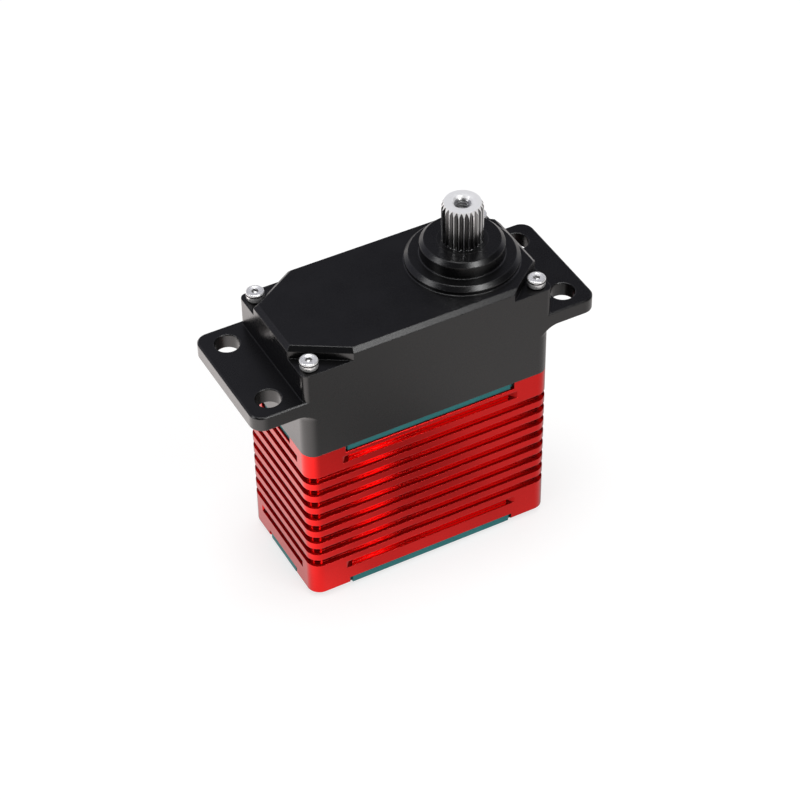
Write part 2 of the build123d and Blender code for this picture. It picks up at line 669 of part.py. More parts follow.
def second_gear():
    body = wheel(SECOND_STAGE, SECOND_WHEEL, pi) + pinion(THIRD_STAGE, SECOND_PINION, pi)
    body += rod(SECOND_HUB_RADIUS, SECOND_HUB_BOTTOM, SECOND_WHEEL[0])
    body -= rod(JOURNAL_RADIUS + RUNNING_GAP, SECOND_HUB_BOTTOM, SECOND_PINION[1])
    return Pos(OUTPUT_X, 0, 0) * body


def third_gear():
    body = wheel(THIRD_STAGE, THIRD_WHEEL, 0) + pinion(OUTPUT_STAGE, THIRD_PINION, 0)
    body -= rod(PIN_RADIUS + RUNNING_GAP, THIRD_WHEEL[0], THIRD_PINION[1])
    return Pos(PIN_X, 0, 0) * body


def output_gear():
    body = wheel(OUTPUT_STAGE, OUTPUT_WHEEL, pi)
    return Pos(OUTPUT_X, 0, 0) * (body - rod(SHAFT_RADIUS, *OUTPUT_WHEEL))


def motor_pinion():
    body = pinion(MOTOR_STAGE, MOTOR_PINION, 0)
    return Pos(MOTOR_X, 0, 0) * (body - rod(MOTOR_SHAFT_RADIUS, *MOTOR_PINION))


# ---- Motor ----


def motor_can():
    """The motor's housing: a thin cup with a nose that centres it in the deck."""
    body = tube(MOTOR_RADIUS, MOTOR_RADIUS - MOTOR_WALL, MOTOR_BOTTOM, SPLIT - MOTOR_END)
    body += rod(MOTOR_RADIUS, SPLIT - MOTOR_END, SPLIT)
    body += rod(MOTOR_NOSE_RADIUS, SPLIT, MOTOR_NOSE_TOP)
    body -= rod(BUSH_RADIUS, SPLIT - MOTOR_END, MOTOR_NOSE_TOP)
    for y in (-MOTOR_SCREW_Y, MOTOR_SCREW_Y):
        body -= rod(SCREW_RADIUS, SPLIT - MOTOR_END, SPLIT, 0, y)
    return Pos(MOTOR_X, 0, 0) * body


def motor_rear_cap():
    plug_top = MOTOR_BOTTOM + MOTOR_WALL
    body = rod(MOTOR_RADIUS, MOTOR_CAP_BOTTOM, MOTOR_BOTTOM)
    body += rod(MOTOR_RADIUS - MOTOR_WALL, MOTOR_BOTTOM, plug_top)
    body -= rod(BUSH_RADIUS, MOTOR_CAP_BOTTOM, plug_top)
    return Pos(MOTOR_X, 0, 0) * body


def motor_bushes():
    """The plain bearings of the motor shaft, in the nose and in the rear cap."""
    bore = MOTOR_SHAFT_RADIUS + RUNNING_GAP
    front = tube(BUSH_RADIUS, bore, SPLIT - MOTOR_END, MOTOR_NOSE_TOP, MOTOR_X)
    rear = tube(BUSH_RADIUS, bore, MOTOR_CAP_BOTTOM, MOTOR_BOTTOM + MOTOR_WALL, MOTOR_X)
    return together([front, rear])


def stator_tooth(index):
    reach = block((0, STATOR_YOKE + MOTOR_WALL), (-STATOR_TOOTH_HALF, STATOR_TOOTH_HALF), STATOR)
    return Rot(0, 0, 360 * index / STATOR_TEETH) * reach


def stator_core():
    """The laminated ring with one pole for each coil."""
    body = tube(MOTOR_RADIUS - MOTOR_WALL, STATOR_YOKE, *STATOR)
    for index in range(STATOR_TEETH):
        body += stator_tooth(index)
    return Pos(MOTOR_X, 0, 0) * (body - rod(STATOR_BORE, *STATOR))


def stator_windings():
    """One copper coil wound round each pole."""
    low, high = STATOR[0] - COIL_OVERHANG, STATOR[1] + COIL_OVERHANG
    coils = []
    for index in range(STATOR_TEETH):
        coil = block((STATOR_BORE + 0.3, STATOR_YOKE - 0.4), (-COIL_HALF, COIL_HALF), (low, high))
        coil = fillet(coil.edges().filter_by(Axis.X), STATOR_TOOTH_HALF)
        coil = Rot(0, 0, 360 * index / STATOR_TEETH) * coil - stator_tooth(index)
        coils.append(Pos(MOTOR_X, 0, 0) * coil)
    return together(coils)


# ---- Boards and sensor ----


def sensor_board():
    """A round board below the shaft, with one flat side for its wires."""
    body = rod(SENSOR_POCKET_RADIUS, *SENSOR_BOARD, OUTPUT_X)
    flat = OUTPUT_X - SENSOR_POCKET_RADIUS
    return body - block((flat, flat + 1.0), (-CASE_WIDTH, CASE_WIDTH), SENSOR_BOARD)


def chip(x, y, length, width, thickness):
    """A chip soldered below the control board."""
    return block(
        (x - length / 2, x + length / 2), (y - width / 2, y + width / 2), (BOARD[0] - thickness, BOARD[0])
    )


def control_chips():
    """The microcontroller, the motor driver and a voltage regulator."""
    microcontroller = chip(3.0, 0.0, 5.0, 5.0, CHIP_THICKNESS)
    driver = chip(-3.6, 0.0, 4.0, 4.0, CHIP_THICKNESS)
    regulator = chip(9.5, 3.6, 2.8, 1.6, CHIP_THICKNESS)
    return together([microcontroller, driver, regulator])


def power_transistors():
    """Two rows of three switches for the motor's three phases."""
    return together([chip(x, y, 3.0, 3.0, CHIP_THICKNESS) for x in (-15.0, -11.4, -7.8) for y in (-3.6, 3.6)])


def storage_capacitor():
    top = BOARD[1] + CAPACITOR_HEIGHT
    return chamfered_rod(CAPACITOR_RADIUS, BOARD[1], top, HEAD_EDGE, CAPACITOR_X)


def wire_pads():
    """Three solder joints for the wires of the cable."""
    return together([chip(15.0, y, 1.2, 1.0, CHIP_THICKNESS / 2) for y in (-1.5, 0.0, 1.5)])


# ---- All pieces ----

upper_inner_ring, upper_outer_ring = bearing_rings(UPPER_BEARING)
lower_inner_ring, lower_outer_ring = bearing_rings(LOWER_BEARING)
UPPER_SEAL_BOTTOM = SPLIT - WINDOW_HEIGHT
LOWER_SEAL_TOP = HEATSINK_BOTTOM + WINDOW_HEIGHT
PIECES = {
    "upper_case": upper_case(),
    "heatsink_case": heatsink_case(),
    "bottom_cover": bottom_cover(),
    "upper_gasket": seal(
        UPPER_SEAL_BOTTOM, spigot(UPPER_SEAL_BOTTOM, SPLIT), SCREW_PLACES, UPPER_TAB_INSET
    ),
    "lower_gasket": seal(
        HEATSINK_BOTTOM, bay(HEATSINK_BOTTOM, LOWER_SEAL_TOP), COVER_SCREW_PLACES, LOWER_TAB_INSET
    ),
    "upper_case_screws": together([case_screw(x, y) for x, y in SCREW_PLACES]),
    "bottom_cover_screws": together([cover_screw(x, y) for x, y in COVER_SCREW_PLACES]),
    "cable_grommet": cable_grommet(),
    "output_seal": tube(
        SEAL_BORE_RADIUS, SHAFT_RADIUS + RUNNING_GAP, UPPER_BEARING["top"], UPPER_BOSS_TOP, OUTPUT_X
    ),
    "upper_bearing_outer_ring": upper_outer_ring,
    "upper_bearing_inner_ring": upper_inner_ring,
    "upper_bearing_balls": bearing_balls(UPPER_BEARING),
    "lower_bearing_outer_ring": lower_outer_ring,
    "lower_bearing_inner_ring": lower_inner_ring,
    "lower_bearing_balls": bearing_balls(LOWER_BEARING),
    "output_shaft": output_shaft(),
    "output_gear": output_gear(),
    "shaft_clip": shaft_clip(),
    "third_gear": third_gear(),
    "second_gear": second_gear(),
    "first_gear": first_gear(),
    "gear_pin": rod(PIN_RADIUS, PIN_BOTTOM, PIN_TOP, PIN_X),
    "motor_pinion": motor_pinion(),
    "motor_shaft": rod(MOTOR_SHAFT_RADIUS, *MOTOR_SHAFT, MOTOR_X),
    "rotor_magnet": tube(ROTOR_RADIUS, MOTOR_SHAFT_RADIUS, *STATOR, MOTOR_X),
    "motor_can": motor_can(),
    "motor_rear_cap": motor_rear_cap(),
    "motor_bushes": motor_bushes(),
    "motor_screws": together([motor_screw(y) for y in (-MOTOR_SCREW_Y, MOTOR_SCREW_Y)]),
    "stator_core": stator_core(),
    "stator_windings": stator_windings(),
    "sensor_magnet": rod(SENSOR_MAGNET_RADIUS, SENSOR_MAGNET_BOTTOM, SHAFT_BOTTOM, OUTPUT_X),
    "sensor_board": sensor_board(),
    "sensor_chip": Pos(OUTPUT_X, 0, SENSOR_BOARD[1])
    * Box(SENSOR_CHIP_SIDE, SENSOR_CHIP_SIDE, SENSOR_CHIP_TOP - SENSOR_BOARD[1], align=UPRIGHT),
    "control_board": bay(*BOARD, BOARD_GAP),
    "control_chips": control_chips(),
    "power_transistors": power_transistors(),
    "storage_capacitor": storage_capacitor(),
    "wire_pads": wire_pads(),
}

os.makedirs("parts", exist_ok=True)
for name, piece in PIECES.items():
    export_step(piece, f"parts/{name}.step")
    print(f"{name}: {len(piece.solids())} solid(s), {piece.volume:.1f} mm3")
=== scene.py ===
"""Studio look of a metal-cased hobby servo motor: turned and hobbed steel, blasted black and red anodising.

Objects are in metres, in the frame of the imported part: +Z runs up the output shaft, +X from the motor
towards the output shaft, +Y to the rear. The origin is the centre of the four ear holes. The shaft and the
screws hold their sizes in millimetres, and their skins turn them into metres.
"""

import json
import logging
import math
from dataclasses import dataclass
from enum import Enum

import bpy
import numpy as np
from mathutils import Matrix, Vector


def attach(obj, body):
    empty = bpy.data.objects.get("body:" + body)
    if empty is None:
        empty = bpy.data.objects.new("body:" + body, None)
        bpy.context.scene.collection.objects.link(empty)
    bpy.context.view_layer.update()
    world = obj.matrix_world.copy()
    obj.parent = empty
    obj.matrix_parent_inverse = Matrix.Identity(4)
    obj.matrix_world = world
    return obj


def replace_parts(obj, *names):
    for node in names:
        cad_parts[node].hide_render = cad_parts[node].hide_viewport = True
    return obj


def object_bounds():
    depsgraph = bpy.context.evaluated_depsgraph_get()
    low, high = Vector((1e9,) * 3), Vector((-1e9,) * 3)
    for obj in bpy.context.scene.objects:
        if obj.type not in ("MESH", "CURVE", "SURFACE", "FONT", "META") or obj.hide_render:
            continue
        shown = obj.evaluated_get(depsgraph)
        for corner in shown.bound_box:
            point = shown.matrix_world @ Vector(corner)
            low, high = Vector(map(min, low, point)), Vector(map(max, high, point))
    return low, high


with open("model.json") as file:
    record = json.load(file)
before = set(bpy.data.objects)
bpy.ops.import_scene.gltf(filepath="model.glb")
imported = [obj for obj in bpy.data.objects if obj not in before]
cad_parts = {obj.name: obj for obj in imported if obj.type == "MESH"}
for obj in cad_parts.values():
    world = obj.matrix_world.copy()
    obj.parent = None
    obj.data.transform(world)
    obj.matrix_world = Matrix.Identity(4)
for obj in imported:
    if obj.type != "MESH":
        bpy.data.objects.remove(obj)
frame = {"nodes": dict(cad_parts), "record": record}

CAD_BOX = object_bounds()
MM = 0.001
WHITE = (1.0, 1.0, 1.0, 1.0)
SHARP_EDGE = math.radians(30.0)
NEAR = 0.01  # mm within which the middle of a face counts as lying on a height or a radius

Socket = bpy.types.NodeSocket
Amount = Socket | float  # a number, or the socket that feeds it
Triple = tuple[float, float, float]  # along X, Y and Z
Colour = tuple[float, float, float]  # linear
Tone = Socket | tuple[float, float, float, float]  # a linear colour with alpha, or the socket that feeds it
Ramp = tuple[float, ...]  # two places, and the results at them where these aren't 0 and 1
Skin = tuple[np.ndarray, np.ndarray]  # vertices in metres, and faces as indices of them

logging.basicConfig(level=logging.INFO, format="%(message)s")
log = logging.getLogger("servo")


class Body(Enum):
    """The rigid bodies that pieces ride on."""

    CASE = "case"
    OUTPUT = "output"


class Lay(Enum):
    """Direction of the fine tool marks on a metal surface, as the stretch of its grain along X, Y and Z."""

    BLASTED = (1.0, 1.0, 1.0)
    TURNED = (1.0, 1.0, 14.0)
    DRAWN = (14.0, 14.0, 1.0)
    LAMINATED = (0.4, 0.4, 30.0)


# ---- Materials ----

NOISE_LAYERS = 3.0
GRAIN_HARSHNESS = 0.6  # strength of the noise's finer layers
PATCH_HARSHNESS = 0.55
PATCHES_PER_METRE = 160.0
NOISE_SPAN = (0.35, 0.65)  # holds nearly all values of the mean of grain and patches
GRAIN_SHARE = 0.4  # of the mottling
MOTTLE_SPAN = (0.38, 0.62)
BEND_SPAN = (0.995, 0.9)  # cosine between the face's normal and the softened one, from no edge colour to full
WEAR_AND_HIGHLIGHT_SPAN = (0.3, 0.7)  # patches, from the least edge colour to the most
LEAST_WEAR_AND_HIGHLIGHT = 0.3  # of the most
BEVEL_SAMPLES = 6
COAT_ROUGHNESS = 0.25
JOINT_AND_SHADE_RAMP = (-0.95, -0.3, 0.85, 0.0)  # dark joints and painted shade: how dark the wave between two ridges is, from its bottom up
MEASURES = ("LENGTH", "DISTANCE", "DOT_PRODUCT")  # steps on vectors that give a number


class Nodes:
    """A short way to place and join the nodes of one material or world."""

    def __init__(self, tree: bpy.types.NodeTree) -> None:
        """Empties the tree.

        Args:
            tree: the node tree to fill.
        """
        self.tree = tree
        tree.nodes.clear()

    def add(self, kind: str, values: dict | None = None, **settings: str | int) -> bpy.types.Node:
        """Adds one node.

        Args:
            kind: the node's type, without the leading "ShaderNode".
            values: socket name or index to a constant, or to the output socket that feeds it.
            settings: plain properties of the node.

        Returns:
            The new node.
        """
        node = self.tree.nodes.new("ShaderNode" + kind)
        for name, value in settings.items():
            setattr(node, name, value)
        for name, value in (values or {}).items():
            socket = node.inputs[name]
            if isinstance(value, Socket):
                self.tree.links.new(value, socket)
            else:
                socket.default_value = value
        return node

    def maths(self, operation: str, a: Amount, b: Amount = 0.0, c: Amount = 0.0) -> Socket:
        """One arithmetic step on numbers or sockets.

        Args:
            operation: the name of the step, such as "MULTIPLY".
            a: first value.
            b: second value.
            c: third value, where the step has one.

        Returns:
            The result's socket.
        """
        return self.add("Math", {0: a, 1: b, 2: c}, operation=operation).outputs[0]

    def vector(self, operation: str, a: Socket, b: Socket | Triple = (0.0, 0.0, 0.0)) -> Socket:
        """One step on vectors.

        Args:
            operation: the name of the step, such as "SUBTRACT".
            a: first vector.
            b: second vector, where the step has one.

        Returns:
            The result's socket, which is a number for a length, a distance and a dot product.
        """
        outputs = self.add("VectorMath", {0: a, 1: b}, operation=operation).outputs
        return outputs["Value" if operation in MEASURES else "Vector"]

    def between(self, value: Amount, low: float, high: float, start: float = 0.0, end: float = 1.0) -> Socket:
        """Maps a value from the span low-high to start-end, clamped.

        Args:
            value: the value to map.
            low: value that gives start.
            high: value that gives end.
            start: result at low.
            end: result at high.

        Returns:
            The result's socket.
        """
        values = {"Value": value, "From Min": low, "From Max": high, "To Min": start, "To Max": end}
        return self.add("MapRange", values).outputs["Result"]

    def blend(self, share: Amount, first: Tone, second: Tone) -> Socket:
        """Mixes two colours.

        Args:
            share: 0 for the first colour and 1 for the second.
            first: first colour.
            second: second colour.

        Returns:
            The mixed colour's socket.
        """
        node = self.add("Mix", data_type="RGBA")
        sockets = {s.identifier: s for s in node.inputs}
        for name, value in (("Factor_Float", share), ("A_Color", first), ("B_Color", second)):
            if isinstance(value, Socket):
                self.tree.links.new(value, sockets[name])
            else:
                sockets[name].default_value = value
        return next(s for s in node.outputs if s.identifier == "Result_Color")

    def place(self, stretch: Triple = (1.0, 1.0, 1.0)) -> Socket:
        """The object's own coordinates, stretched along each axis.

        Args:
            stretch: factor for X, Y and Z.

        Returns:
            The vector's socket.
        """
        here = self.add("TexCoord").outputs["Object"]
        return self.add("Mapping", {"Vector": here, "Scale": stretch}).outputs["Vector"]

    def noise(self, where: Socket, per_metre: float, harshness: float) -> Socket:
        """Fractal noise from 0 to 1.

        Args:
            where: the coordinates' socket.
            per_metre: number of noise cells in a metre.
            harshness: strength of the finer layers.

        Returns:
            The noise's socket.
        """
        values = {"Vector": where, "Scale": per_metre, "Detail": NOISE_LAYERS, "Roughness": harshness}
        return self.add("TexNoise", values).outputs["Fac"]


def rgba(colour: Colour) -> tuple[float, float, float, float]:
    """A linear colour with full alpha."""
    return (*colour, 1.0)


@dataclass(frozen=True)
class Finish:
    """A metal, coating, rubber or plastic surface with fine grain, soft mottling, and edges lightened partly
    by rubbing and partly by a painted highlight.

    Attributes:
        name: the material's name.
        slot: the record's slot that the finish stands for.
        colour: linear base colour.
        shade: linear colour of its darker mottling.
        metallic: share of bare metal.
        roughness: middle of the roughness.
        spread: how far the roughness strays either way.
        ior: index of refraction of the clear part of the surface.
        grain: grains in a metre.
        relief: height of the grain in metres.
        lay: direction of the tool marks.
        edge: radius in metres over which an edge is softened.
        wear_and_highlight_colour: linear colour that shows on the sharpest edges: rubbed bare metal, and
            partly a painted highlight.
        wear_and_highlight_share: strength of that colour on the edges.
        coat: weight of a clear coat.
        sheen: weight of a dusty sheen.
        grazing: tint of what a metal mirrors at a glancing angle.
    """

    name: str
    slot: str
    colour: Colour
    shade: Colour
    metallic: float = 0.0
    roughness: float = 0.4
    spread: float = 0.05
    ior: float = 1.5
    grain: float = 9000.0
    relief: float = 2.0e-6
    lay: Lay = Lay.BLASTED
    edge: float = 1.2e-4
    wear_and_highlight_colour: Colour = (0.5, 0.5, 0.5)
    wear_and_highlight_share: float = 0.0
    coat: float = 0.0
    sheen: float = 0.0
    grazing: Colour = (1.0, 1.0, 1.0)

    def material(self) -> bpy.types.Material:
        """Builds the node material, once for each finish.

        Returns:
            The material.
        """
        made = bpy.data.materials.get(self.name)
        if made is not None:
            return made
        made = bpy.data.materials.new(self.name)
        made.use_nodes = True
        nodes = Nodes(made.node_tree)
        grain = nodes.noise(nodes.place(self.lay.value), self.grain, GRAIN_HARSHNESS)
        patches = nodes.noise(nodes.place(), PATCHES_PER_METRE, PATCH_HARSHNESS)
        surface = nodes.add(
            "BsdfPrincipled",
            {
                "Metallic": self.metallic,
                "IOR": self.ior,
                "Coat Weight": self.coat,
                "Coat Roughness": COAT_ROUGHNESS,
                "Sheen Weight": self.sheen,
                "Specular Tint": rgba(self.grazing),
            },
        )
        colour = self.tint(nodes, grain, patches)
        soft = nodes.add("Bevel", {"Radius": self.edge}, samples=BEVEL_SAMPLES).outputs["Normal"]
        # Lighter edges where the softened normal bends: partly rubbing, partly a painted highlight.
        if self.wear_and_highlight_share:
            colour = nodes.blend(self.wear_and_highlight(nodes, soft, patches), colour, rgba(self.wear_and_highlight_colour))
        relief = nodes.add("Bump", {"Height": grain, "Distance": self.relief, "Normal": soft})
        both = nodes.maths("MULTIPLY_ADD", patches, 0.5, nodes.maths("MULTIPLY", grain, 0.5))
        rough = nodes.between(both, *NOISE_SPAN, self.roughness - self.spread, self.roughness + self.spread)
        rough = nodes.maths("MULTIPLY", rough, self.polish(nodes))
        nodes.tree.links.new(colour, surface.inputs["Base Color"])
        nodes.tree.links.new(rough, surface.inputs["Roughness"])
        nodes.tree.links.new(relief.outputs["Normal"], surface.inputs["Normal"])
        nodes.add("OutputMaterial", {"Surface": surface.outputs["BSDF"]})
        return made

    def polish(self, nodes: Nodes) -> Amount:
        """Factor on the roughness, which a plain finish leaves as it is."""
        return 1.0

    def tint(self, nodes: Nodes, grain: Socket, patches: Socket) -> Socket:
        """The colour with its mottling: broad patches, and a finer share of the grain.

        Args:
            nodes: the material's nodes.
            grain: fine noise from 0 to 1.
            patches: broad noise from 0 to 1.

        Returns:
            The colour's socket.
        """
        broad = nodes.maths("MULTIPLY", patches, 1 - GRAIN_SHARE)
        mixed = nodes.maths("MULTIPLY_ADD", grain, GRAIN_SHARE, broad)
        return nodes.blend(nodes.between(mixed, *MOTTLE_SPAN), rgba(self.colour), rgba(self.shade))

    def wear_and_highlight(self, nodes: Nodes, soft: Socket, patches: Socket) -> Socket:
        """How much of the lighter edge colour each point takes, partly rubbing and partly a painted
        highlight: high where the softened normal leaves the face's own, broken by patches.

        Args:
            nodes: the material's nodes.
            soft: the softened normal.
            patches: broad noise from 0 to 1.

        Returns:
            The share of the edge colour, 0 to 1.
        """
        flat = nodes.add("NewGeometry").outputs["Normal"]
        bent = nodes.between(nodes.vector("DOT_PRODUCT", soft, flat), *BEND_SPAN)
        strength = nodes.between(patches, *WEAR_AND_HIGHLIGHT_SPAN, LEAST_WEAR_AND_HIGHLIGHT * self.wear_and_highlight_share, self.wear_and_highlight_share)
        return nodes.maths("MULTIPLY", bent, strength)

    def dress(self, name: str) -> None:
        """Gives this finish to a CAD node.

        Args:
            name: the CAD node.
        """
        mesh = frame["nodes"][name].data
        mesh.materials.clear()
        mesh.materials.append(self.material())
        log.info("%s: %s", name, self.name)


@dataclass(frozen=True)
class StripedFinish(Finish):
    """A finish whose colour draws fine parallel ridges, such as wound wire or stacked sheets, with dark
    joints and painted shade between them.

    Attributes:
        pitch: distance from one ridge to the next, in metres.
        across: axis that the ridges follow each other along.
        depth: height of a ridge in metres; not used.
        gap: linear colour between the ridges: partly dark joints, partly painted shade in the crevices.
    """

    pitch: float = 3.0e-4
    across: str = "Z"
    depth: float = 6.0e-5
    gap: Colour = (0.02, 0.01, 0.01)

    def tint(self, nodes: Nodes, grain: Socket, patches: Socket) -> Socket:
        """The mottled colour, darkened between ridges as dark joints and painted shade: a sine of the place
        along one axis.

        Args:
            nodes: the material's nodes.
            grain: fine noise from 0 to 1.
            patches: broad noise from 0 to 1.

        Returns:
            The colour's socket.
        """
        plain = super().tint(nodes, grain, patches)
        along = nodes.add("SeparateXYZ", {0: nodes.place()}).outputs[self.across]
        wave = nodes.maths("SINE", nodes.maths("MULTIPLY", along, 2 * math.pi / self.pitch))
        # Dark joints and painted shade at the bottom of each wave.
        return nodes.blend(nodes.between(wave, *JOINT_AND_SHADE_RAMP), plain, rgba(self.gap))


@dataclass(frozen=True)
class BoardFinish(Finish):
    """Solder mask with copper tracks that show through it.

    Attributes:
        track: linear colour over a track.
        bricks: size and shape of the pattern that the tracks follow.
    """

    track: Colour = (0.05, 0.24, 0.13)
    bricks: tuple[tuple[str, float], ...] = (
        ("Scale", 330.0), ("Mortar Size", 0.07), ("Brick Width", 1.3), ("Row Height", 0.4),
    )

    def tint(self, nodes: Nodes, grain: Socket, patches: Socket) -> Socket:
        """The mask with a lighter colour over the tracks, which are the joints of a brick pattern.

        Args:
            nodes: the material's nodes.
            grain: fine noise from 0 to 1.
            patches: broad noise from 0 to 1.

        Returns:
            The colour's socket.
        """
        plain = super().tint(nodes, grain, patches)
        tracks = nodes.add("TexBrick", {"Vector": nodes.place(), **dict(self.bricks)}).outputs["Fac"]
        return nodes.blend(tracks, plain, rgba(self.track))


@dataclass(frozen=True)
class MilledFinish(Finish):
    """A blasted finish on the outside of a case, with smoother grooves whose darker colour is painted shade.

    Attributes:
        half: half length and half width of the case, in metres, less its corner radius.
        corner: corner radius in metres.
        skin: depth below the outside at which the blasting fades, in metres.
        milled: roughness in the grooves as a share of the outside's.
        painted_groove_shade: darker linear colour in the grooves, which is painted shade.
    """

    half: tuple[float, float] = (0.0180, 0.0082)
    corner: float = 0.0020
    skin: float = 1.5e-4
    milled: float = 0.35
    # Painted shade in the grooves.
    painted_groove_shade: Colour = (0.50, 0.008, 0.007)

    def outer(self, nodes: Nodes) -> Socket:
        """Tells the outside from the grooves.

        In plan, a point's depth is the corner radius less the length of max(|p| - half, 0).

        Args:
            nodes: the material's nodes.

        Returns:
            1 on the outside and 0 in the grooves.
        """
        limits = (*self.half, 1.0)  # far above the case, so that height never counts
        past = nodes.vector("SUBTRACT", nodes.vector("ABSOLUTE", nodes.place()), limits)
        reach = nodes.vector("LENGTH", nodes.vector("MAXIMUM", past))
        return nodes.between(reach, self.corner - 2 * self.skin, self.corner - self.skin)

    def polish(self, nodes: Nodes) -> Socket:
        """Full roughness on the outside and less in the grooves.

        Args:
            nodes: the material's nodes.

        Returns:
            The factor on the roughness.
        """
        return nodes.between(self.outer(nodes), 0.0, 1.0, self.milled, 1.0)

    def tint(self, nodes: Nodes, grain: Socket, patches: Socket) -> Socket:
        """The mottled colour outside, and a darker one in the grooves, which is painted shade.

        Args:
            nodes: the material's nodes.
            grain: fine noise from 0 to 1.
            patches: broad noise from 0 to 1.

        Returns:
            The colour's socket.
        """
        # Painted shade: the grooves take a darker red than the outside.
        return nodes.blend(self.outer(nodes), rgba(self.painted_groove_shade), super().tint(nodes, grain, patches))


